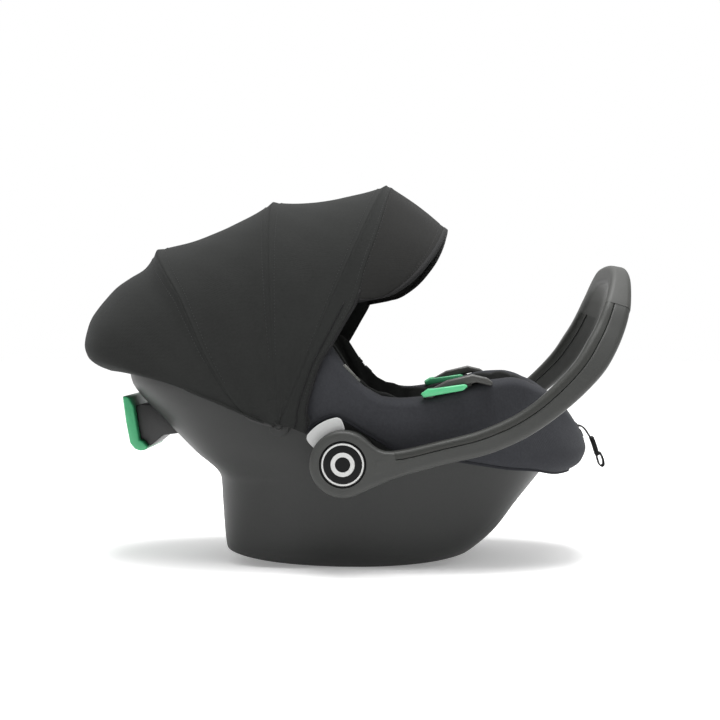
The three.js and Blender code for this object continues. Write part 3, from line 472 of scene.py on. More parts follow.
def build_shell():
    n = 160
    # even steps in angle round the outline
    th = np.linspace(0, 2 * np.pi, n, endpoint=False)
    top = solve(lambda z: z - pchip(RIM, ring(SHELL, th, z)[0]), np.full(n, 90.0), np.full(n, 318.0))
    bot = solve(lambda z: z - rocker(ring(SHELL, th, z)[0]), np.full(n, -2.0), np.full(n, 40.0))
    rows = []
    for s in np.linspace(0, 1, 54):
        z = bot + (top - bot) * s ** 1.15
        x, y = ring(SHELL, th, z)
        rows.append(np.stack([x, y, z], 1))
    # rolled rim, then the inner wall
    x0, y0 = ring(SHELL, th, top)
    for d, dz in ((0.9, 1.0), (2.2, 1.5), (3.6, 1.0), (4.5, 0.0)):
        x, y = ring(SHELL, th, top, -d)
        rows.append(np.stack([x, y, top + dz - 1.0], 1))
    for s in np.linspace(0.05, 1, 10):
        z = top + (50 - top) * s
        x, y = ring(SHELL, th, z, -4.5)
        rows.append(np.stack([x, y, z], 1))
    P = np.stack(rows, 1)
    nv = P.shape[1]
    V = list(P.reshape(-1, 3))
    F = grid_faces(n, nv, True)
    # rocker surface
    prev = [i * nv for i in range(n)]
    edge = P[:, 0]
    for k in np.linspace(0.96, 0.06, 16):
        cur = []
        for i in range(n):
            x, y = edge[i, 0] * k, edge[i, 1] * k
            cur.append(len(V))
            V.append(np.array([x, y, rocker(x)]))
        F += [(prev[i], cur[i], cur[(i + 1) % n], prev[(i + 1) % n]) for i in range(n)]
        prev = cur
    V.append(np.array([0, 0, 0]))
    F += [(prev[i], len(V) - 1, prev[(i + 1) % n]) for i in range(n)]
    # floor inside
    prev = [i * nv + nv - 1 for i in range(n)]
    V.append(np.array([0, 0, 50.0]))
    F += [(prev[(i + 1) % n], len(V) - 1, prev[i]) for i in range(n)]
    o = fix_normals(new_object("shell_moulding", np.array(V), F))
    tools = []
    for x0, x1 in ((-135, -40), (40, 130)):
        c = new_object("tool", [(x, y, z) for x in (x0, x1) for y in (-68, 68) for z in (-20, 38)],
                       [(0, 1, 3, 2), (4, 6, 7, 5), (0, 4, 5, 1), (2, 3, 7, 6), (0, 2, 6, 4), (1, 5, 7, 3)], False)
        fix_normals(c)
        b = o.modifiers.new("c", "BOOLEAN")
        b.operation = "DIFFERENCE"
        b.solver = "EXACT"
        b.object = c
        tools.append(c)
    apply_mods(o)
    for c in tools:
        bpy.data.objects.remove(c)
    sharp(o, 40)
    give(o, "shell", "seat", "shell")
    for side, nm in ((-1, "right"), (1, "left")):
        b = lathe_y("hub_boss_" + nm, [(41, 160), (40, 168), (39, 173.5), (38.2, 178), (37.4, 183), (36.8, 187.5), (36.2, 189.6), (34, 190), (6.4, 190)], HUB, side, 96)
        give(b, "shell", "seat")


build_shell()


# ---------------------------------------------------------------- cover and lining
def cover_rows():
    n = 220
    th = np.linspace(0, 2 * np.pi, n, endpoint=False)
    outer = lambda z, d=0.0: ring(SHELL, th, z, d, COVER_FRONT)

    def place(z):
        x, y = ring(SHELL, th, z, 0.0, COVER_FRONT)
        # skin outside the shell, fading out under the canopy
        k = 0.8 + (COVER_SKIN - 0.8) * smooth(x, -62, -22)
        w = pchip(SHELL, z, 3)
        lim = np.minimum(w + k, 186.2)
        return x, y * lim / w
    top = solve(lambda z: z - pchip(COVER_TOP, place(z)[0]), np.full(n, 118.0), np.full(n, 312.0))
    return n, th, place, top


def build_cover():
    n, th, place, top = cover_rows()
    low_x = place(np.full(n, 150.0))[0]
    low = solve(lambda z: z - pchip(COVER_LOW, place(z)[0]), np.full(n, 100.0), np.full(n, 230.0))
    behind = smooth(-low_x, 48, 70)
    low = low * (1 - behind) + (top - 16) * behind
    rows, tags = [], []
    shoulder = top - 9
    R = 26
    for j in range(R):
        s = j / (R - 1)
        z = low + (shoulder - low) * s
        x, y = place(z)
        # gather towards the lower binding
        k = 1 - 0.010 * np.exp(-((z - low) / 5.0) ** 2)
        rows.append(np.stack([x * k, y * k, z], 1))
    xo, yo = rows[-1][:, 0], rows[-1][:, 1]
    zi = solve(lambda z: z - pchip(COVER_TOP, ring(HOLLOW, th, z, -LINING - 0.35)[0]) + 12, np.full(n, 100.0), np.full(n, 320.0))
    xi, yi = ring(HOLLOW, th, zi, -LINING - 0.35)
    A = rows[-1]
    B = np.stack([xi, yi, zi], 1)
    for s in np.linspace(0.07, 1.0, 14):
        c = A * (1 - s) + B * s
        lift = np.sin(np.pi * np.clip(s, 0, 1)) ** 0.62
        base = A[:, 2] * (1 - s) + B[:, 2] * s
        crown = pchip(COVER_TOP, c[:, 0]) * np.ones(n)
        z = base + lift * (crown - base)
        rows.append(np.stack([c[:, 0], c[:, 1], z], 1))
    P = np.stack(rows, 1)
    # soft waves of a loose knit over foam
    X, Y, Z = P[..., 0], P[..., 1], P[..., 2]
    nrm = normals_of(P, True)
    c = P - np.array([0, 0, 170.0])
    s = np.sign((nrm * c).sum(2).mean())
    nrm = nrm * s
    wob = 0.5 * np.sin(X / 17 + Z / 23) * np.sin(Z / 13 - X / 29) + 0.35 * np.sin(X / 7.5 + Y / 31 + Z / 9)
    P = P + nrm * (wob * 0.7)[..., None]
    o = sheet_object("seat_cover_outer", P, -0.0 + 2.0, (0, 0, 150), True)
    o.data.materials.clear()
    o.data.materials.append(M["cover"])
    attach(o, "seat")
    # binding tape round the lower edge
    e = P[:, 0]
    nn = nrm[:, 0]
    tape = []
    for dz, dn in ((0.4, -1.2), (-0.9, -0.2), (-1.1, 0.9), (0.0, 1.5), (2.2, 1.2), (2.5, 0.1)):
        tape.append(e + nn * dn + np.array([0, 0, dz]))
    T = np.stack(tape, 1)
    b = fix_normals(new_object("cover_binding", T.reshape(-1, 3), grid_faces(n, T.shape[1], True, True)))
    # the tape takes the darker copy of the cover knit, painted shade
    give(b, "lip", "seat")
    return o, B, th, top


cover, lining_start, TH, TOP = build_cover()


def build_lining():
    n = 420
    th = np.linspace(0, 2 * np.pi, n, endpoint=False)
    def rim_gap(x):
        return 6.5 - 4.5 * smooth(x, -95, -60) * (1 - smooth(x, 35, 70))
    zt = solve(lambda z: z - pchip(COVER_TOP, ring(HOLLOW, th, z, -LINING - 0.4)[0]) + rim_gap(ring(HOLLOW, th, z, -LINING - 0.4)[0]), np.full(n, 100.0), np.full(n, 330.0))
    rows = []
    J = 44
    # distance along the rim for the quilting
    x, y = ring(HOLLOW, th, zt, -LINING - 0.4)
    seg = np.sqrt(np.diff(x, append=x[0]) ** 2 + np.diff(y, append=y[0]) ** 2 + np.diff(zt, append=zt[0]) ** 2)
    arc = np.concatenate([[0], np.cumsum(seg)[:-1]])
    count = round(arc[-1] / 31)
    phase = arc / (arc[-1] + seg[-1]) * count
    ch = np.abs(np.sin(np.pi * phase)) ** 0.5           # 0 in the sewn channel
    for j in range(J):
        s = j / (J - 1)
        z = zt + (84 - zt) * s
        row = np.abs(np.sin(np.pi * (s * 2.0))) ** 0.4 if s > 0.5 else 1.0
        puff = 7.0 * ch * row * np.sin(np.pi * np.clip(0.06 + s * 0.94, 0, 1)) ** 0.4 * (1 - 0.35 * s)
        x, y = ring(HOLLOW, th, z, -LINING + 0.8)
        xc = pchip(HOLLOW, z, 1) * 0.5 + pchip(HOLLOW, z, 2) * 0.5
        r = np.sqrt((x - xc) ** 2 + y ** 2)
        k = 1 - puff / r
        rows.append(np.stack([xc + (x - xc) * k, y * k, z + puff * 0.95 * (1 - s) ** 2 + 1.5 * (1 - s) ** 6], 1))
    for k in (0.8, 0.55, 0.3, 0.08):
        x, y = ring(HOLLOW, th, np.full(n, 81.0), -LINING)
        xc = pchip(HOLLOW, np.full(n, 81.0), 1) * 0.5 + pchip(HOLLOW, np.full(n, 81.0), 2) * 0.5
        rows.append(np.stack([xc + (x - xc) * k, y * k, np.full(n, 81.0)], 1))
    P = np.stack(rows, 1)
    o = sheet_object("seat_lining", P, 2.0, (0, 0, 20), True)
    # the thickness goes outwards, into the liner
    give(o, "lining", "seat")
    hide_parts("seat_cover")
    return o


build_lining()

# ---------------------------------------------------------------- canopy
def arch_r(R, q):
    return R * np.abs(np.sin(q)) ** (2 / ARCH_N)


def arch_y(W, q):
    return -W * sp(np.cos(q), 2 / ARCH_N)


def q_at(R, r):
    return math.asin((r / R) ** (ARCH_N / 2))


def bow_point(name, q, W, dr=0.0, d=0.0):
    R, phi0 = BOWS[name][0], BOWS[name][1]
    r = arch_r(R, q)
    phi = np.radians(pchip(REAR_PHI, r) if name == "rear" else np.full_like(r, phi0))
    k = (R - dr) / R
    return np.stack([PIVOT[0] + r * k * np.cos(phi) + d * np.sin(phi), arch_y(W, q) + 0 * r,
                     PIVOT[1] + r * k * np.sin(phi) - d * np.cos(phi)], -1)


EDGE = 4.0
SAG = 8.0


def even(qa, n):
    """Arch parameters with even spacing along the arch."""
    q = np.linspace(qa, np.pi - qa, 2001)
    P = bow_point("middle", q, FABRIC_Y)
    l = np.concatenate([[0], np.cumsum(np.linalg.norm(np.diff(P, axis=0), axis=1))])
    return np.interp(np.linspace(0, l[-1], n), l, (q - qa) / (np.pi - 2 * qa))


def canopy_between(name, a, b, body_a, body_b, nodes, flat, key="canopy"):
    nu, nv = 150, 44
    u = even(q_at(BOWS[a][0], EDGE), nu)[:, None]
    v = np.linspace(0, 1, nv)[None, :]
    qa0, qb0 = q_at(BOWS[a][0], EDGE), q_at(BOWS[b][0], EDGE)
    qa = qa0 + (np.pi - 2 * qa0) * u
    qb = qb0 + (np.pi - 2 * qb0) * u
    A = bow_point(a, qa, FABRIC_Y)
    B = bow_point(b, qb, FABRIC_Y)
    m = A * (1 - v[..., None]) + B * v[..., None]
    r = arch_r(1.0, qa)
    d = np.array([PIVOT[0], 0, PIVOT[1]]) - m * np.array([1, 0, 1])
    d = d / (np.linalg.norm(d, axis=2, keepdims=True) + 1e-9)
    fold = 4 * v * (1 - v)
    P = m + d * (SAG * fold * r * r)[..., None]
    # tension folds that fan out from the pivots, strongest low on the sides
    side = np.abs(np.cos(np.pi * u))
    fan = np.sin(v * np.pi * 3 + 0.8 * np.sin(u * 9)) * fold
    nrm = normals_of(P)
    s = np.sign(((np.array([-70, 0, 230.0]) - P) * nrm).sum(2).mean())
    nrm = nrm * s
    amp = 1.5 * side ** 2 * (r ** 0.5) + 0.45
    micro = 0.35 * np.sin(P[..., 0] / 9 + P[..., 1] / 23) * np.sin(P[..., 2] / 11 + P[..., 1] / 17) * fold
    P = P + nrm * (fan * amp * 0.8 + micro)[..., None]
    # raised seam allowance over each bow
    seam = np.exp(-((v) * 150 / 3.2) ** 2) + np.exp(-((1 - v) * 150 / 3.2) ** 2)
    line = np.exp(-((v * 150 - 6.5) / 1.1) ** 2) + np.exp(-(((1 - v) * 150 - 6.5) / 1.1) ** 2)
    P = P - nrm * (seam * 0.8 * r ** 0.5 - line * 0.55 * r ** 0.3)[..., None]
    o = sheet_object(name, P, 1.4, (-70, 0, 230))
    o.data.materials.clear()
    o.data.materials.append(M[key])
    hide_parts(*nodes)
    w = np.broadcast_to(v, (nu, nv)).reshape(-1)
    return o, np.concatenate([w, w]), P


def set_blend(o, a, b, start, end, w):
    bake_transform(o, a, b, tuple(c * MM for c in start), tuple(c * MM for c in end))
    att = o.data.attributes["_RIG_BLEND"]
    w = w * w * (3 - 2 * w) * 0.35 + w * 0.65
    att.data.foreach_set("value", w.astype(np.float32))


def crown(name):
    R, phi = BOWS[name][0], math.radians(BOWS[name][1])
    return (PIVOT[0] + R * math.cos(phi), 0, PIVOT[1] + R * math.sin(phi))


o, w, Pf = canopy_between("canopy_front_cloth", "middle", "front", "bow_middle", "bow_front", ["canopy_front_panel"], None)
set_blend(o, "bow_middle", "bow_front", crown("middle"), crown("front"), w)
front_cloth = o
o, w, Pr = canopy_between("canopy_rear_cloth", "rear", "middle", "bow_rear", "bow_middle", ["canopy_rear_panel"], None)
set_blend(o, "bow_rear", "bow_middle", crown("rear"), crown("middle"), w)
rear_cloth = o

PROFILE_L = np.concatenate([[0], np.cumsum(np.linalg.norm(np.diff(BACK_PROFILE, axis=0), axis=1))])
PROFILE = np.column_stack([PROFILE_L / PROFILE_L[-1], BACK_PROFILE])


def build_back():
    nu, nv = 150, 54
    q0 = q_at(BOWS["rear"][0], 9)
    u = np.linspace(0.0, 1.0, nu)[:, None]
    v = np.linspace(0, 1, nv)[None, :]
    A = bow_point("rear", q0 + (np.pi - 2 * q0) * u, FABRIC_Y)
    h = u * np.pi
    c, s = np.cos(h), np.sin(h)
    hx = -112 - 191 * np.abs(s) ** (2 / 2.6)
    H = np.stack([hx, -FABRIC_Y * sp(c, 2 / 2.6), pchip(HEM_Z, hx)], -1)
    px, pz = pchip(PROFILE, v, 1), pchip(PROFILE, v, 2)
    cx, cz = -246 + (-303 + 246) * v, 379.5 + (231 - 379.5) * v
    g = np.abs(np.sin(h)) ** 1.15
    m = A * (1 - v[..., None]) + H * v[..., None]
    P = np.stack([m[..., 0] + (px - cx) * g, m[..., 1] + 0 * v, m[..., 2] + (pz - cz) * g], -1)
    nrm = normals_of(P)
    sg = np.sign(((np.array([-150, 0, 250.0]) - P) * nrm).sum(2)[10:-10].mean())
    nrm = nrm * sg
    fade = (np.sin(np.pi * v) ** 0.6) * g
    folds = 1.3 * np.sin(u * 34 + 2.0 * np.sin(v * 4)) * (v ** 1.2) * fade + 0.8 * np.sin(v * 13 + 3 * np.sin(u * 6)) * fade
    seam = np.exp(-(v * 160 / 3.2) ** 2)
    line = np.exp(-((v * 160 - 6.5) / 1.1) ** 2)
    P = P + nrm * (folds * 0.9 - seam * 0.8 * g ** 0.3 + line * 0.55 * g ** 0.3)[..., None]
    P = P[1:-1]
    o = sheet_object("canopy_back_cloth", P, 1.4, (-150, 0, 250))
    o.data.materials.clear()
    o.data.materials.append(M["canopy"])
    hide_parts("canopy_back_panel")
    w = np.broadcast_to(v, (nu - 2, nv)).reshape(-1)
    w = np.concatenate([w, w])
    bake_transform(o, "seat", "bow_rear", (-0.303, 0, 0.231), (-0.246, 0, 0.3795))
    w = 1 - w
    o.data.attributes["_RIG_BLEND"].data.foreach_set("value", (w ** 1.2).astype(np.float32))
    return o, P


back_cloth, Pb = build_back()


def build_band():
    nu, nv = 170, 10
    R = BOWS["front"][0]
    q0 = q_at(R, EDGE)
    u = even(q0, nu)[:, None]
    v = np.linspace(0, 1, nv)[None, :]
    q = q0 + (np.pi - 2 * q0) * u
    d = v * pchip(BAND, arch_r(R, q))
    P = bow_point("front", q + 0 * v, FABRIC_Y, 0.0, d)
    nrm = normals_of(P)
    sg = np.sign(((np.array([-70, 0, 230.0]) - P) * nrm).sum(2).mean())
    nrm = nrm * sg
    seam = np.exp(-(v * 20 / 2.6) ** 2)
    edge = np.exp(-((1 - v) * 20 / 2.2) ** 2)
    P = P - nrm * (0.8 * seam + 0.5 * edge)[..., None]
    o = sheet_object("canopy_band_cloth", P, 1.6, (-70, 0, 230))
    give(o, "canopy", "bow_front", "canopy_front_band")
    return o, P


band_cloth, Pband = build_band()


def build_visor():
    nu, nv = 130, 34
    R = BOWS["front"][0]
    q0 = q_at(R, 165.0)
    u = np.linspace(0, 1, nu)[:, None]
    v = np.linspace(0, 1, nv)[None, :]
    q = q0 + (np.pi - 2 * q0) * u
    root = bow_point("front", q, FABRIC_Y, 0.0, pchip(BAND, arch_r(R, q)) - 1.0)
    h = np.pi * u
    z = 313 + 90 * np.abs(np.sin(h)) ** (2 / 2.3)
    tip = np.stack([pchip(VISOR_EDGE, z), -168 * sp(np.cos(h), 2 / 2.3), z], -1)
    P = root * (1 - v[..., None]) + tip * v[..., None]
    nrm = normals_of(P)
    sg = np.sign(((np.array([0, 0, 330.0]) - P) * nrm).sum(2)[8:-8].mean())
    nrm = nrm * sg
    fade = np.sin(np.pi * v) * np.sin(np.pi * u) ** 0.4
    P = P - nrm * (2.2 * fade + 0.35 * np.sin(u * 40) * fade)[..., None]
    hem = np.exp(-(((1 - v) * 75 - 9) / 1.0) ** 2)
    P = P + nrm * (0.5 * hem)[..., None]
    o = sheet_object("visor_cloth", P, 2.0, (0, 0, 330))
    o.data.materials.clear()
    o.data.materials.append(M["visor"])
    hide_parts("visor_panel", "visor_wire")
    w = np.broadcast_to(v, (nu, nv)).reshape(-1)
    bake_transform(o, "bow_front", "visor", (0.044, 0, 0.452), (0.113, 0, 0.403))
    o.data.attributes["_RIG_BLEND"].data.foreach_set("value", np.concatenate([w, w]).astype(np.float32))
    # black edging under the front edge
    e, n2 = P[:, -1], nrm[:, -1]
    out = e - P[:, -3]
    out = out / (np.linalg.norm(out, axis=1, keepdims=True) + 1e-9)
    T = np.stack([e - out * 5 - n2 * 0.8, e + out * 0.2 - n2 * 0.9, e + out * 1.2 + n2 * 0.6, e + out * 0.4 + n2 * 2.8, e - out * 6 + n2 * 2.6], 1)
    b = fix_normals(new_object("visor_edging", T.reshape(-1, 3), grid_faces(nu, 5, False, True)))
    bm = bmesh.new()
    bm.from_mesh(b.data)
    bmesh.ops.holes_fill(bm, edges=[x for x in bm.edges if x.is_boundary], sides=0)
    bmesh.ops.recalc_face_normals(bm, faces=bm.faces)
    bm.to_mesh(b.data)
    bm.free()
    give(b, "binding", "visor")
    return o, P


visor_cloth, Pv = build_visor()


def build_tips():
    """The sewn corner that wraps each pivot."""
    for side, nm in ((-1, "right"), (1, "left")):
        pts = [(-113, 186.0), (-104, 183.2), (-95, 179.2), (-88, 175.8), (-81, 172.6), (-73, 170.4), (-65, 169.4), (-55, 169.4), (-47, 170.2), (-43.8, 173.0),
               (-44, 178), (-47, 186), (-52, 193), (-62, 200), (-76, 203), (-92, 200), (-106, 192)]
        o = prism("canopy_corner_" + nm, pts, side * 187.4, side * 189.9)
        b = o.modifiers.new("b", "BEVEL")
        b.width = 0.7 * MM
        b.segments = 2
        b.limit_method = "ANGLE"
        b.angle_limit = math.radians(60)
        apply_mods(o)
        sharp(o, 40)
        give(o, "canopy", "seat")


build_tips()


def area(P):
    a = P[:-1, :-1]
    return float((np.linalg.norm(np.cross(P[1:, :-1] - a, P[:-1, 1:] - a), axis=2)).sum()) * 1e-6


for o, P in ((front_cloth, Pf), (rear_cloth, Pr), (back_cloth, Pb), (band_cloth, Pband), (visor_cloth, Pv)):
    mid = P[:, P.shape[1] // 2]
    L = float(np.linalg.norm(np.diff(P[:, -1 if P is Pf else 0], axis=0), axis=1).sum()) * MM
    W = float(np.linalg.norm(np.diff(P[P.shape[0] // 2], axis=0), axis=1).sum()) * MM
    a = area(P)
    W, L = round(max(W, 0.012), 3), round(L, 3)
    L = max(L, math.ceil(a / W * 1000) / 1000)

# bows seen from inside
for nm, body in (("front", "bow_front"), ("middle", "bow_middle"), ("rear", "bow_rear")):
    R, phi, Y, drop = BOWS[nm]
    q0 = q_at(R, 5)
    u = np.linspace(q0, np.pi - q0, 120)[:, None]
    rowsb = []
    for d in (-3.5, -2.4, 2.4, 3.5):
        rowsb.append(bow_point(nm, u[:, 0], Y, drop, d))
    P = np.stack(rowsb, 1)
    c = (PIVOT[0] + 60 * math.cos(math.radians(phi)), 0, PIVOT[1] + 60 * math.sin(math.radians(phi)))
    o = sheet_object(nm + "_bow_strip", P, 1.6, c)
    give(o, "shell_dark", body, nm + "_bow")
    for side in (-1, 1):
        e = lathe_y("%s_bow_eye_%s" % (nm, "right" if side < 0 else "left"), [(3.2, Y - 1.6), (3.2, Y), (4.3, Y), (4.7, Y - 0.5), (4.7, Y - 1.1), (4.3, Y - 1.6), (3.2, Y - 1.6)], PIVOT, side, 40)
        give(e, "shell", body)

# ---------------------------------------------------------------- handle
ARM = np.array([
    [-5, 209, 130, 3, 29], [38, 209, 130.2, 6, 29.5], [59, 209, 131.4, 9, 28.5], [82, 209, 136.6, 13, 27.6], [104, 209, 142.6, 13.5, 26.8],
    [126.4, 209, 147.7, 14.5, 27.3], [149, 209, 153.4, 18, 28], [171.3, 209, 161.8, 23, 28.3], [193.8, 208.5, 172.5, 29, 28.3],
    [216.2, 207.5, 186.9, 35, 28.5], [232, 206, 199.5, 40, 29.5], [248, 203, 213.8, 46, 31], [259.2, 200, 224.9, 50, 32],
    [269.4, 196, 236.1, 54, 33.2], [277.9, 191.5, 247.2, 58, 34.4], [284.6, 186, 258.4, 62, 34.6], [291.2, 180, 269.7, 65, 33.8],
    [296.9, 173, 281, 68.5, 32.8], [301.7, 167, 292.4, 72, 32], [305.9, 160, 303.9, 75, 30], [309.2, 147, 315.6, 76, 27.5],
    [312, 132, 327.4, 77, 25], [314, 112, 337, 78, 23], [315, 80, 344, 79, 21.5], [315.3, 40, 346.3, 79, 21], [315.3, 0, 347, 79, 21]], float)
NEAR = ARM.copy()
NEAR[:, 1] *= -1
PATH = np.concatenate([NEAR, ARM[:-1][::-1]])


def smooth_path(n):
    l = np.concatenate([[0], np.cumsum(np.linalg.norm(np.diff(PATH[:, :3], axis=0), axis=1))])
    s = np.linspace(0, l[-1], n)
    out = np.zeros((n, 5))
    # Catmull-Rom on chord length
    k = np.clip(np.searchsorted(l, s) - 1, 0, len(l) - 2)
    t = ((s - l[k]) / (l[k + 1] - l[k]))[:, None]
    p0, p1 = PATH[np.maximum(k - 1, 0)], PATH[k]
    p2, p3 = PATH[k + 1], PATH[np.minimum(k + 2, len(l) - 1)]
    h = (l[k + 1] - l[k])[:, None]
    m1 = (p2 - p0) / (l[k + 1] - l[np.maximum(k - 1, 0)])[:, None] * h
    m2 = (p3 - p1) / (l[np.minimum(k + 2, len(l) - 1)] - l[k])[:, None] * h
    out = (2 * t ** 3 - 3 * t ** 2 + 1) * p1 + (t ** 3 - 2 * t ** 2 + t) * m1 + (-2 * t ** 3 + 3 * t ** 2) * p2 + (t ** 3 - t ** 2) * m2
    return s, l, out


S_, L_, HP = smooth_path(361)
for _ in range(6):       # ease the path
    HP[1:-1] = 0.25 * HP[:-2] + 0.5 * HP[1:-1] + 0.25 * HP[2:]
TAN = np.gradient(HP[:, :3], axis=0)
TAN /= np.linalg.norm(TAN, axis=1, keepdims=True)
ang = np.radians(HP[:, 3])
WV = np.stack([np.sin(ang), 0 * ang, -np.cos(ang)], 1)
NV = np.cross(TAN, WV)
NV /= np.linalg.norm(NV, axis=1, keepdims=True)
WV = np.cross(NV, TAN)
I_GRIP = int(np.argmin(np.abs(HP[:180, 1] + GRIP_Y)))
I_HUB = int(np.argmin(np.abs(HP[:60, 0] - (HUB[0] + 37.5))))


def sweep(name, outline, i0, i1, close_ends=True, round_ends=0.0):
    rows = []
    for i in range(i0, i1 + 1):
        o = np.array(outline(HP[i, 4]))
        k = 1.0
        if round_ends:
            e = min(i - i0, i1 - i)
            if e < 3:
                k = (0.93, 0.975, 0.993)[e]
                c = o.mean(0)
                o = c + (o - c) * k
        rows.append(HP[i, :3] + o[:, :1] * WV[i] + o[:, 1:] * NV[i])
    P = np.stack(rows, 0)
    nu, nv = P.shape[:2]
    F = grid_faces(nu, nv, False, True)
    if close_ends:
        F.append(tuple(range(nv)))
        F.append(tuple((nu - 1) * nv + j for j in range(nv)))
    return fix_normals(new_object(name, P.reshape(-1, 3), F))


def rounded_section(w0, w1, t, r0, r1, seg=6):
    """Section from w0 to w1 across, half thickness t, corner radii r0 (at w0) and r1 (at w1)."""
    pts = []
    for cx, cy, a0, r in ((w1 - r1, t - r1, 0, r1), (w0 + r0, t - r0, 90, r0), (w0 + r0, -t + r0, 180, r0), (w1 - r1, -t + r1, 270, r1)):
        for i in range(seg + 1):
            a = math.radians(a0 + 90 * i / seg)
            pts.append((cx + r * math.cos(a), cy + r * math.sin(a)))
    return pts


t_ = ARM_T / 2
lower_sec = lambda w: rounded_section(-w / 6 + 0.2, w / 2, t_, 0.6, 6.5)
upper_sec = lambda w: rounded_section(-w / 2, -w / 6 - 0.25, t_ - 0.15, min(6.0, w / 3 - 0.6), 0.8)
grip_sec = lambda w: rounded_section(-w / 2 - 0.2, w / 2 + 0.2, t_ + 0.2, 6.6, 6.6, 8)
n_ = len(HP) - 1
I_STRIP = int(np.argmin(np.abs(HP[:80, 0] - 52.0)))
I_ROOT = int(np.argmin(np.abs(HP[:80, 0] - 34.0)))


# outline of the plate that carries the arm: disc with fillets above and below
FILLET = [(-5, 167.5), (8, 165.6), (19, 159.2), (27, 152.6), (34.5, 147.2), (42, 144.5), (50, 144.3), (60, 145.6), (70, 147.7),
          (70, 120.3), (60, 116.6), (50, 113.2), (40, 109.0), (30, 104.4), (20, 99.8), (10, 95.8), (-5, 92.2)]
for side, nm in ((-1, "right"), (1, "left")):
    a, b = (I_ROOT, I_GRIP + 4) if side < 0 else (n_ - I_GRIP - 4, n_ - I_ROOT)
    arm = sweep("arm", lambda w: rounded_section(-w / 6 + 0.2, w / 2 - 0.3, t_ - 0.25, 0.6, 6.3), a, b)
    disc = lathe_y("disc", [(0.01, 197.6), (36.6, 197.6), (37.6, 198.2), (38, 199.4), (38, 213.4), (37.6, 215.6), (36.4, 217.3), (34.6, 218.3), (32.5, 218.6), (0.01, 218.6)], HUB, side, 128)
    plate = prism("plate", FILLET, side * 198.4, side * 218.6)
    # the plate's face rises to meet the arm's
    for v in plate.data.vertices:
        x = v.co.x / MM
        if abs(v.co.y) / MM > 210:
            v.co.y += side * (1.4 * float(smooth(x, 12, 62))) * MM
    b_ = plate.modifiers.new("b", "BEVEL")
    b_.width = 4.2 * MM
    b_.segments = 4
    b_.limit_method = "ANGLE"
    b_.angle_limit = math.radians(60)
    apply_mods(plate)
    # the strip keeps its own groove beyond the plate
    keep = prism("k", [(54, 200), (54, HP[I_STRIP, 2] - 1.0), (80, 140.5), (80, 200)], side * 150, side * 260)
    cut_with(plate, [keep])
    o = join("handle_arm_" + nm, [arm, disc, plate])
    remesh(o, 1.15, 3, 0.5)
    cut_with(o, [lathe_y("hole", [(0.01, 212.2), (26.7, 212.2), (26.7, 230), (0.01, 230)], HUB, side, 96),
                 lathe_y("hole2", [(0.01, 190), (35, 190), (35, 200.4), (6.6, 200.4), (6.6, 213), (0.01, 213)], HUB, side, 64)])
    sharp(o, 50)
    give(o, "handle", "carry_handle")
    if side < 0:
        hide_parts("handle_frame")
    a, b = (I_STRIP, I_GRIP + 2) if side < 0 else (n_ - I_GRIP - 2, n_ - I_STRIP)
    o = sweep("handle_strip_" + nm, upper_sec, a, b, round_ends=1)
    sharp(o, 50)
    give(o, "handle_top", "carry_handle", "handle_cover_" + nm)
    cap = sharp(lathe_y("hub_cap_face_" + nm, [(0.01, 212.4), (26.0, 212.4), (26.0, 217.4), (25.6, 218.2), (24.8, 218.4), (24.3, 217.9), (16, 218.4), (8, 218.7), (0.01, 218.8)], HUB, side, 96), 40)
    give(cap, "cap", "carry_handle", "hub_cap_" + nm)
    rg = sharp(lathe_y("hub_ring_face_" + nm, [(22.0, 217.3), (24.1, 217.3), (24.1, 218.4), (23.7, 218.9), (22.4, 218.9), (22.0, 218.5), (22.0, 217.3)], HUB, side, 96), 40)
    give(rg, "white", "carry_handle")
    dot = sharp(lathe_y("hub_mark_" + nm, [(8.6, 217.6), (13.6, 217.6), (13.6, 218.9), (13.2, 219.3), (9.0, 219.3), (8.6, 218.9), (8.6, 217.6)], HUB, side, 64), 40)
    give(dot, "white", "carry_handle")
    # release tab with soft corners and a thin slot behind it
    tabs = []
    cxy = (math.cos(math.radians(121)), math.sin(math.radians(121)))
    pts = []
    corner = []
    outer = [(52.3, a) for a in np.linspace(-22.0, 22.0, 14)]
    pl = [(38.2, -32.5), (41.5, -31.3), (45.5, -29.6), (48.8, -27.8), (50.9, -25.8)] + outer + [(50.9, 25.8), (48.8, 27.8), (45.5, 29.6), (41.5, 31.3), (38.2, 32.5)]
    pl += [(37.2, a) for a in np.linspace(31.5, -31.5, 18)]
    for r, a in pl:
        A = math.radians(121 + a)
        pts.append((HUB[0] + r * math.cos(A), HUB[1] + r * math.sin(A)))
    tab = prism("release_tab_" + nm, pts, side * 190.9, side * 195.6)
    bt = tab.modifiers.new("b", "BEVEL")
    bt.width = 1.1 * MM
    bt.segments = 3
    bt.limit_method = "ANGLE"
    bt.angle_limit = math.radians(60)
    apply_mods(tab)
    sharp(tab, 40)
    give(tab, "tab", "release_" + nm, "release_button_" + nm)
o = sweep("handle_grip_sleeve", grip_sec, I_GRIP, n_ - I_GRIP, round_ends=0)
sharp(o, 50)
give(o, "grip", "carry_handle", "handle_grip")

# ---------------------------------------------------------------- hard small pieces
for nm in ("right", "left"):
    give(bevelled("hub_base_" + nm, 0.8), "guide", "seat")
    give(bevelled("lap_guide_" + nm, 2.6, 4), "guide", "seat")
    give(bevelled("lap_guide_insert_" + nm, 1.8, 4), "green", "seat")
    give(bevelled("buckle_tongue_" + nm, 0.6, 2), "steel", "seat")
    give(bevelled("canopy_bracket_" + nm, 0.5, 2), "shell", "seat")
# the shoulder belt guide takes the darker copy of the guide green, painted shade
give(bevelled("shoulder_belt_guide", 2.6, 4), "green_painted_shade", "seat")


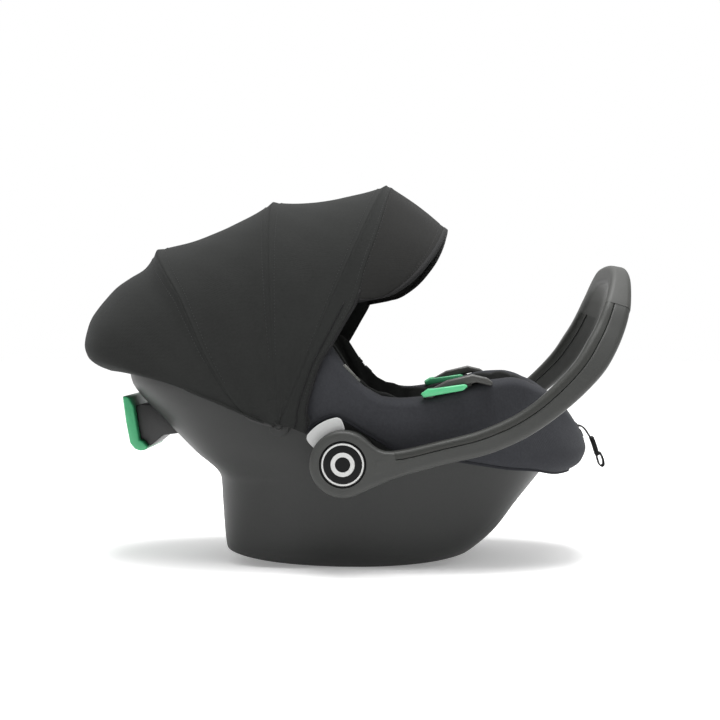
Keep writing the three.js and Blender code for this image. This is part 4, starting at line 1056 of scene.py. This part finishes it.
def rim_tab(side, nm):
    """The woven tab sewn in beside the opening, lying on the cover."""
    from mathutils.bvhtree import BVHTree
    bvh = BVHTree.FromObject(cover, bpy.context.evaluated_depsgraph_get())
    c = [np.array(q, float) for q in ((-7.0, 240.2), (-3.2, 242.6), (14.8, 224.2), (11.0, 221.6))]
    out, inn = [], []
    for i in range(25):
        s_ = i / 24
        r1, r2 = [], []
        for j in range(7):
            t_ = j / 6
            q = (c[0] * (1 - t_) + c[1] * t_) * (1 - s_) + (c[3] * (1 - t_) + c[2] * t_) * s_
            p0 = Vector((q[0], side * 400.0, q[1])) * MM
            hit = bvh.ray_cast(p0, Vector((0, -side, 0)))
            if hit[0] is None or hit[0].y * side < 0.13:
                hit = bvh.find_nearest(Vector((q[0], side * 168.0, q[1])) * MM)
            nn = hit[1].normalized()
            if nn.y * side < 0:
                nn = -nn
            r1.append(np.array((hit[0] + nn * 2.2 * MM) / MM))
            r2.append(np.array((hit[0] - nn * 0.5 * MM) / MM))
        out.append(r1)
        inn.append(r2)
    A, B = np.array(out), np.array(inn)
    n0, n1 = A.shape[:2]
    F = grid_faces(n0, n1) + grid_faces(n0, n1, off=n0 * n1)
    g = lambda i, j, k: k * n0 * n1 + i * n1 + j
    for i in range(n0 - 1):
        F.append((g(i, 0, 0), g(i + 1, 0, 0), g(i + 1, 0, 1), g(i, 0, 1)))
        F.append((g(i, n1 - 1, 0), g(i + 1, n1 - 1, 0), g(i + 1, n1 - 1, 1), g(i, n1 - 1, 1)))
    for j in range(n1 - 1):
        F.append((g(0, j, 0), g(0, j + 1, 0), g(0, j + 1, 1), g(0, j, 1)))
        F.append((g(n0 - 1, j, 0), g(n0 - 1, j + 1, 0), g(n0 - 1, j + 1, 1), g(n0 - 1, j, 1)))
    o = fix_normals(new_object("rim_tab_woven_" + nm, np.concatenate([A.reshape(-1, 3), B.reshape(-1, 3)]), F))
    sharp(o, 50)
    give(o, "strip", "seat", "rim_tab_" + nm)
    return o


for side, nm in ((-1, "right"), (1, "left")):
    rim_tab(side, nm)
give(bevelled("belt_guide_bracket", 1.6, 3), "shell_dark", "seat")
give(bevelled("adjuster_housing", 0.9, 3), "buckle", "seat")
give(bevelled("adjuster_button", 0.8, 3), "buckle", "adjuster_press")
give(bevelled("buckle_body", 2.4, 4), "buckle", "seat")
button = bevelled("buckle_button", 0.8, 3)
bv = np.array([v.co for v in button.data.vertices])
bn = np.linalg.svd(bv - bv.mean(0), full_matrices=False)[2][2]
bn = bn * (1 if bn[2] > 0 else -1)
bm = np.median((bv - bv.mean(0)) @ bn)
for v in button.data.vertices:
    if (np.array(v.co) - bv.mean(0)) @ bn < bm:
        v.co = v.co + Vector(bn) * 2.0 * MM
give(button, "red", "buckle_press")
give(bevelled("headrest_board", 1.0, 3), "shell_dark", "headrest")

# ---------------------------------------------------------------- soft goods
def back_s(x, z):
    return -0.685 * (x + 60) + 0.7285 * (z - 75)


def back_n(x, z):
    return 0.7285 * (x + 60) + 0.685 * (z - 75)


def on_back(s_, n_b):
    return -60 - 0.685 * s_ + 0.7285 * n_b, 75 + 0.7285 * s_ + 0.685 * n_b


PADS = {}


def pad_start(node, name, voxel, shrink):
    o = copy_node(node, name)
    me = o.data
    me.transform(o.matrix_world)
    o.matrix_world = Matrix.Identity(4)
    m = o.modifiers.new("r", "REMESH")
    m.mode = "VOXEL"
    m.voxel_size = voxel * MM
    c = o.modifiers.new("s", "SMOOTH")
    c.factor = 0.5
    c.iterations = 4
    apply_mods(o)
    me = o.data
    me.update()
    n = len(me.vertices)
    co = np.empty(n * 3)
    me.vertices.foreach_get("co", co)
    no = np.empty(n * 3)
    me.vertex_normals.foreach_get("vector", no)
    me.vertices.foreach_set("co", co - no * shrink * MM)
    me.update()
    PADS[name] = (o, co.reshape(-1, 3) - no.reshape(-1, 3) * shrink * MM)
    return o


def simulate(cap_mm):
    scene = bpy.context.scene
    for name, (o, _) in PADS.items():
        m = o.modifiers.new("cloth", "CLOTH")
        st = m.settings
        st.quality = 5
        st.mass = 0.25
        st.use_pressure = True
        st.uniform_pressure_force = 4.0
        st.tension_stiffness = 12
        st.compression_stiffness = 12
        st.bending_stiffness = 0.6
        st.effector_weights.gravity = 0
        m.collision_settings.use_collision = False
        m.point_cache.frame_start = 1
        m.point_cache.frame_end = 20
    for f in range(1, 21):
        scene.frame_set(f)
    dg = bpy.context.evaluated_depsgraph_get()
    done = {}
    for name, (o, start) in PADS.items():
        ev = o.evaluated_get(dg)
        n = len(ev.data.vertices)
        co = np.empty(n * 3)
        ev.data.vertices.foreach_get("co", co)
        done[name] = co.reshape(-1, 3).copy()
    for name, (o, start) in PADS.items():
        o.modifiers.clear()
        co = done[name]
        d = co - start
        l = np.linalg.norm(d, axis=1, keepdims=True)
        cap = cap_mm.get(name, 6.0) * MM
        d = d * np.minimum(1.0, cap / (l + 1e-12))
        o.data.vertices.foreach_set("co", (start + d).reshape(-1))
        o.data.update()
    scene.frame_set(1)


def displace(o, fun):
    """Move points along their normals by fun(x, y, z, nx, ny, nz) in millimetres."""
    me = o.data
    me.update()
    n = len(me.vertices)
    co = np.empty(n * 3)
    me.vertices.foreach_get("co", co)
    no = np.empty(n * 3)
    me.vertex_normals.foreach_get("vector", no)
    co, no = co.reshape(-1, 3), no.reshape(-1, 3)
    a = fun(co[:, 0] / MM, co[:, 1] / MM, co[:, 2] / MM, no)
    me.vertices.foreach_set("co", (co + no * (a * MM)[:, None]).reshape(-1))
    me.update()


def groove(t, at, width, depth):
    r = np.zeros_like(t)
    for a in at:
        r = r + np.exp(-((t - a) / width) ** 2)
    return -depth * np.clip(r, 0, 1)


pad_start("seat_pad", "seat_cushion", 5.0, 3.0)
pad_start("back_pad", "back_cushion", 5.0, 3.0)
pad_start("headrest_pad", "headrest_cushion", 4.5, 2.6)
pad_start("crotch_pad", "crotch_cushion", 2.2, 1.2)
for nm in ("right", "left"):
    pad_start("side_bolster_" + nm, "side_cushion_" + nm, 5.0, 3.0)
    pad_start("shoulder_pad_" + nm, "shoulder_cushion_" + nm, 2.4, 1.4)
simulate({"seat_cushion": 5.0, "back_cushion": 5.0, "headrest_cushion": 4.5, "crotch_cushion": 2.2, "side_cushion_right": 5.0, "side_cushion_left": 5.0,
          "shoulder_cushion_right": 2.4, "shoulder_cushion_left": 2.4})
PAD_SHAPE = {
    "seat_cushion": ("seat_pad", "seat", lambda x, y, z, n: np.where(n[:, 2] > 0.2, groove(x, (-12, 22, 56, 88), 3.4, 4.2) * (np.abs(y) < 84) + groove(np.abs(y), (66,), 3.2, 2.2), 0)
                     + groove(z, (93,), 1.6, 1.2) * (np.abs(n[:, 2]) < 0.5)),
    "back_cushion": ("back_pad", "seat", lambda x, y, z, n: np.where(back_n(x, z) > 18, groove(back_s(x, z), (70, 101, 132), 3.4, 4.2) * (np.abs(y) < 80) + groove(np.abs(y), (64,), 3.2, 2.2), 0)
                     + groove(back_n(x, z), (15,), 1.6, 1.2) * (np.abs(y) > 70)),
    "headrest_cushion": ("headrest_pad", "headrest", lambda x, y, z, n: groove(np.abs(y), (46,), 3.0, 3.2) * (back_n(x, z) < 40) + groove(back_s(x, z), (193, 236), 3.0, 2.4)
                         + groove(back_s(x, z), (214,), 3.0, 2.6) * (np.abs(y) > 50)),
    "crotch_cushion": ("crotch_pad", "seat", lambda x, y, z, n: groove(np.abs(y), (17.5,), 1.1, 0.9) + groove(x, (47,), 1.6, 1.0)),
}
for nm in ("right", "left"):
    PAD_SHAPE["side_cushion_" + nm] = ("side_bolster_" + nm, "seat", lambda x, y, z, n: groove(x + 0.25 * z, (-70, -38, -6, 26, 58, 90), 3.4, 4.0) * (np.abs(n[:, 1]) > 0.35))
    PAD_SHAPE["shoulder_cushion_" + nm] = ("shoulder_pad_" + nm, "seat", lambda x, y, z, n: groove(back_s(x, z), (100, 115, 130), 1.5, 1.1) + groove(np.abs(np.abs(y) - 38.4 - (back_s(x, z) - 115) * 0.16), (20.5,), 1.1, 0.7))
for name, (node, body, fun) in PAD_SHAPE.items():
    o = PADS[name][0]
    sub = o.modifiers.new("s", "SUBSURF")
    sub.levels = sub.render_levels = 1
    apply_mods(o)
    displace(o, fun)
    displace(o, lambda x, y, z, n: 0.35 * np.sin(x / 6.1 + y / 9.3) * np.sin(z / 5.7 - y / 7.7) * (0.3 if "cushion" in name and "shoulder" in name else 1.0))
    give(o, "pad", body, node)


def tube(name, pts, r, seg=8, closed=False):
    P = np.array(pts, float)
    n = len(P)
    T = (np.roll(P, -1, 0) - np.roll(P, 1, 0)) if closed else np.gradient(P, axis=0)
    T /= np.linalg.norm(T, axis=1, keepdims=True) + 1e-12
    up = np.array([0.13, 0.21, 0.97])
    A = np.cross(T, up)
    A /= np.linalg.norm(A, axis=1, keepdims=True) + 1e-12
    B = np.cross(T, A)
    th = np.linspace(0, 2 * np.pi, seg, endpoint=False)
    V = P[:, None] + r * (np.cos(th)[None, :, None] * A[:, None] + np.sin(th)[None, :, None] * B[:, None])
    F = grid_faces(n, seg, closed, True)
    if not closed:
        F.append(tuple(range(seg)))
        F.append(tuple((n - 1) * seg + j for j in range(seg)))
    return fix_normals(new_object(name, V.reshape(-1, 3), F))


def curve(pts, n):
    """Catmull-Rom through points, with even spacing."""
    P = np.array(pts, float)
    l = np.concatenate([[0], np.cumsum(np.linalg.norm(np.diff(P[:, :3], axis=0), axis=1))])
    s_ = np.linspace(0, l[-1], n)
    k = np.clip(np.searchsorted(l, s_) - 1, 0, len(l) - 2)
    h = (l[k + 1] - l[k])[:, None]
    t = ((s_ - l[k])[:, None]) / h
    km, kp = np.maximum(k - 1, 0), np.minimum(k + 2, len(l) - 1)
    m1 = (P[k + 1] - P[km]) / (l[k + 1] - l[km])[:, None] * h
    m2 = (P[kp] - P[k]) / (l[kp] - l[k])[:, None] * h
    return (2 * t ** 3 - 3 * t ** 2 + 1) * P[k] + (t ** 3 - 2 * t ** 2 + t) * m1 + (-2 * t ** 3 + 3 * t ** 2) * P[k + 1] + (t ** 3 - t ** 2) * m2


def band(name, pts, width, thick, n=70, wave=0.35):
    """Webbing along points that carry their own face normal."""
    C = curve(pts, n)
    P, N = C[:, :3], C[:, 3:6]
    T = np.gradient(P, axis=0)
    T /= np.linalg.norm(T, axis=1, keepdims=True)
    B = np.cross(T, N)
    B /= np.linalg.norm(B, axis=1, keepdims=True)
    N = np.cross(B, T)
    w, t = width / 2, thick / 2
    sec = []
    for a in np.linspace(-0.94, 0.94, 15):
        sec.append((a * w, t * (1 + 0.12 * math.cos(a * 3.0 * math.pi))))
    sec += [(w, t * 0.5), (w, -t * 0.5)]
    for a in np.linspace(0.94, -0.94, 15):
        sec.append((a * w, -t * (1 + 0.12 * math.cos(a * 3.0 * math.pi))))
    sec += [(-w, -t * 0.5), (-w, t * 0.5)]
    sec = np.array(sec)
    u = np.linspace(0, 1, n)
    V = P[:, None] + sec[None, :, :1] * B[:, None] + sec[None, :, 1:] * N[:, None]
    lift = wave * np.sin(u * 17)[:, None] * (sec[:, 0] / w)[None, :] * np.sin(np.pi * u)[:, None]
    V = V + N[:, None] * lift[..., None]
    F = grid_faces(n, len(sec), False, True)
    F.append(tuple(range(len(sec))))
    F.append(tuple((n - 1) * len(sec) + j for j in range(len(sec))))
    o = sharp(fix_normals(new_object(name, V.reshape(-1, 3), F)), 50)
    return o, float(np.linalg.norm(np.diff(P, axis=0), axis=1).sum())


def stitches(name, pts, normals, body, key="thread", pitch=4.2, length=2.8, size=0.34, lift=0.08):
    """A row of short raised stitches along a line on a surface."""
    P, N = np.array(pts, float), np.array(normals, float)
    l = np.concatenate([[0], np.cumsum(np.linalg.norm(np.diff(P, axis=0), axis=1))])
    V, F = [], []
    for c in np.arange(pitch, l[-1] - pitch, pitch):
        ends = []
        for q in (c - length / 2, c, c + length / 2):
            ends.append(np.array([np.interp(q, l, P[:, a]) for a in range(3)]))
        nn = np.array([np.interp(c, l, N[:, a]) for a in range(3)])
        nn /= np.linalg.norm(nn) + 1e-12
        t = ends[2] - ends[0]
        t /= np.linalg.norm(t) + 1e-12
        b = np.cross(t, nn)
        k = len(V)
        for e, h, ws in ((ends[0], -0.25, 0.55), (ends[1], lift, 1.0), (ends[2], -0.25, 0.55)):
            for a in range(6):
                A = a * math.pi / 3
                V.append(e + b * (size * ws * math.cos(A)) + nn * (h + size * ws * math.sin(A)))
        for r_ in range(2):
            for a in range(6):
                F.append((k + r_ * 6 + a, k + r_ * 6 + (a + 1) % 6, k + (r_ + 1) * 6 + (a + 1) % 6, k + (r_ + 1) * 6 + a))
        F.append(tuple(k + a for a in range(6)))
        F.append(tuple(k + 12 + a for a in range(6)))
    o = fix_normals(new_object(name, np.array(V), F))
    give(o, key, body)
    return o


# harness
BO, BE, BN = np.array([2.0, 0, 134.0]), np.array([-0.92, 0, 0.392]), np.array([0.392, 0, 0.92])


def buckle_at(d, y, h):
    return BO + BE * d + BN * h + np.array([0, y, 0])


for side, nm in ((-1, "right"), (1, "left")):
    c = buckle_at(49.5, 17.6 * side, 0.6)
    pts = [(c[0], c[1], c[2], 0.45, 0, 0.9)]
    for s_, n_b, y, nx, nz in ((62, 36, 28, 0.7, 0.7), (82, 35, 33, 0.72, 0.69), (100, 34, 37, 0.7285, 0.685), (125, 33.8, 40.8, 0.7285, 0.685), (150, 33.5, 44, 0.7285, 0.685), (163, 31.4, 45, 0.7285, 0.685)):
        x, z = on_back(s_, n_b)
        pts.append((x, y * side, z, nx, 0, nz))
    o, L = band("harness_webbing_" + nm, pts, 36, 1.7)
    give(o, "web", "seat", "shoulder_strap_" + nm)
o, L = band("crotch_webbing", [(62, 0, 108.3, 0.3, 0, 1), (50, 0, 112, 0.4, 0, 1), (38, 0, 118, 0.45, 0, 1), (22.9, 0, 125.2, 0.392, 0, 0.92)], 32, 1.7, 40, 0.1)
give(o, "web", "seat", "crotch_strap")
PULL = [(270.4, 158.8), (275.2, 160.7), (279.5, 160.2), (284, 156.6), (287.5, 151.5), (293, 142.5), (297.5, 129), (299.9, 119), (302.2, 112.6), (305.0, 110.6), (307.3, 112.6),
        (306.6, 119), (303.0, 127.5)]
P3 = np.array(PULL)
T3 = np.gradient(P3, axis=0)
T3 /= np.linalg.norm(T3, axis=1, keepdims=True)
o, L = band("adjuster_webbing", [(x, 0, z, -t[1], 0, t[0]) for (x, z), t in zip(PULL, T3)], 25, 1.7, 90, 0.25)
give(o, "web", "seat", "adjuster_strap")
# sewn end of the pull strap
tg, _ = band("adjuster_tag", [(292.2, 0, 146.5, 0.9, 0, 0.4), (295.6, 0, 137.5, 0.93, 0, 0.36), (299.6, 0, 124.5, 0.95, 0, 0.3)], 25.6, 4.6, 24, 0.0)
give(tg, "binding", "seat")

# piping and stitching on the canopy
def line_of(P, j, body, name, off=0.0, thin=1):
    n = normals_of(P)
    c = np.array([-70, 0, 230.0])
    s_ = np.sign(((P - c) * n).sum(2)[10:-10].mean())
    return P[::thin, j], n[::thin, j] * s_


for P, jj, body, name in ((Pf, 3, "bow_middle", "stitch_middle_front"), (Pf, Pf.shape[1] - 4, "bow_front", "stitch_front_rear"),
                          (Pr, Pr.shape[1] - 4, "bow_middle", "stitch_middle_rear"), (Pr, 3, "bow_rear", "stitch_rear_front"), (Pb, 3, "bow_rear", "stitch_rear_rear")):
    a, b = line_of(P, jj, body, name)
    a, b = a[15:-15], b[15:-15]
    stitches(name, a, b, body)
a, b = line_of(Pband, 7, "bow_front", "x")
stitches("stitch_band", a[6:-6], b[6:-6], "bow_front")
a, b = line_of(Pv, 1, "bow_front", "x")
stitches("stitch_visor_root", a[3:-3], b[3:-3], "bow_front")
a, b = line_of(Pv, Pv.shape[1] - 5, "visor", "x")
stitches("stitch_visor_hem", a[3:-3], b[3:-3], "visor")
# elastic piping along the free front edge, low on both sides
for side, nm in ((-1, "right"), (1, "left")):
    e = Pband[:, -1]
    r_ = np.hypot(e[:, 0] - PIVOT[0], e[:, 2] - PIVOT[1])
    m = (np.sign(e[:, 1]) == side) & (r_ < 185) & (r_ > 14)
    pts = e[m]
    pts = pts[np.argsort(np.hypot(pts[:, 0] - PIVOT[0], pts[:, 2] - PIVOT[1]))]
    o = tube("canopy_piping_" + nm, pts + np.array([0.5, side * -0.5, 0]), 1.5, 10)
    give(o, "binding", "bow_front")
    mid = (np.sign(Pband[:, 5, 1]) == side) & (r_ < 165) & (r_ > 22)
    q = Pband[mid][:, 5]
    q = q[np.argsort(np.hypot(q[:, 0] - PIVOT[0], q[:, 2] - PIVOT[1]))]
    o = tube("canopy_fold_" + nm, q + np.array([0, side * 0.2, 0]), 0.9, 8)
    give(o, "binding", "bow_front")
# green pads on the inner side of the lap guides, and the web under each horn
for side, nm in ((-1, "right"), (1, "left")):
    pts = [(82.5, 207.6), (86, 204.0), (112, 208.6), (131, 212.3), (135.5, 217.2), (131.5, 219.0), (112, 216.0), (90, 213.0)]
    o = prism("lap_guide_inlay_" + nm, pts, side * 149.5, side * 156.8)
    b = o.modifiers.new("b", "BEVEL")
    b.width = 1.6 * MM
    b.segments = 3
    b.limit_method = "ANGLE"
    b.angle_limit = math.radians(50)
    apply_mods(o)
    sharp(o, 40)
    # the inner pad takes the darker copy of the guide green, painted shade
    give(o, "green_painted_shade", "seat")
    web = [(96, 199), (100, 207.9), (112, 213.0), (128, 217.6), (140, 219.6), (144, 214), (140, 203), (110, 196)]
    o = prism("lap_guide_foot_" + nm, web, side * 157.5, side * 164.5)
    b = o.modifiers.new("b", "BEVEL")
    b.width = 1.2 * MM
    b.segments = 3
    b.limit_method = "ANGLE"
    b.angle_limit = math.radians(50)
    apply_mods(o)
    sharp(o, 40)
    give(o, "guide", "seat")

# ---------------------------------------------------------------- inner and lower metal and foam keep their CAD shape
CAD_LOOK = {"base_bar_rear": "steel", "base_bar_front": "steel", "impact_liner": "foam", "handle_axle_right": "steel", "handle_axle_left": "steel",
            "lock_ring_right": "steel", "lock_ring_left": "steel", "release_spring_right": "steel", "release_spring_left": "steel"}
for node, key in CAD_LOOK.items():
    o = NODES[node]
    o.data.materials.clear()
    o.data.materials.append(M[key])

# ---------------------------------------------------------------- stage
def stage():
    me = bpy.data.meshes.new("floor")
    s = 9.0
    me.from_pydata([(-s, -s, 0), (s, -s, 0), (s, s, 0), (-s, s, 0)], [], [(0, 1, 2, 3)])
    f = bpy.data.objects.new("floor", me)
    bpy.context.scene.collection.objects.link(f)
    f.location.z = -0.0006
    m = bpy.data.materials.new("floor_white")
    m.use_nodes = True
    p = m.node_tree.nodes["Principled BSDF"]
    p.inputs["Base Color"].default_value = (0.93, 0.93, 0.93, 1)
    p.inputs["Roughness"].default_value = 0.9
    p.inputs["Emission Color"].default_value = (1, 1, 1, 1)
    p.inputs["Emission Strength"].default_value = 0.24
    me.materials.append(m)
    w = bpy.data.worlds.new("studio")
    w.use_nodes = True
    nt = w.node_tree
    bg = nt.nodes["Background"]
    tc = nt.nodes.new("ShaderNodeTexCoord")
    sep = nt.nodes.new("ShaderNodeSeparateXYZ")
    nt.links.new(tc.outputs["Generated"], sep.inputs[0])
    mr = nt.nodes.new("ShaderNodeMapRange")
    mr.interpolation_type = "SMOOTHSTEP"
    mr.inputs["From Min"].default_value = -0.9
    mr.inputs["From Max"].default_value = 0.5
    mr.inputs["To Min"].default_value = 0.5
    mr.inputs["To Max"].default_value = 1.0
    nt.links.new(sep.outputs["Y"], mr.inputs["Value"])
    nt.links.new(mr.outputs["Result"], bg.inputs[1])
    bg.inputs[0].default_value = (1, 1, 1, 1)
    bpy.context.scene.world = w
    for nm, loc, size, power, target in (
            ("key", (0.35, -1.2, 3.0), 1.6, 56, (0, 0, 0.2)),
            ("top", (0.0, 0.2, 2.6), 1.5, 84, (0, 0, 0.2)),
            ("fill", (1.6, -2.0, 1.6), 1.8, 4, (0, 0, 0.2))):
        l = bpy.data.lights.new(nm, "AREA")
        l.shape = "SQUARE"
        l.size = size
        l.energy = power
        o = bpy.data.objects.new(nm, l)
        o.location = loc
        o.rotation_euler = (Vector(target) - Vector(loc)).to_track_quat("-Z", "Y").to_euler()
        bpy.context.scene.collection.objects.link(o)
    cam = bpy.data.cameras.new("camera")
    cam.lens = 82.8
    cam.sensor_width = 36
    c = bpy.data.objects.new("camera", cam)
    c.location = (0.104, -2.070, 0.297)
    c.rotation_euler = Vector((-0.0483, 1, -0.0266)).to_track_quat("-Z", "Y").to_euler()
    bpy.context.scene.collection.objects.link(c)
    bpy.context.scene.camera = c
    bpy.context.scene.view_settings.view_transform = "Standard"


stage()
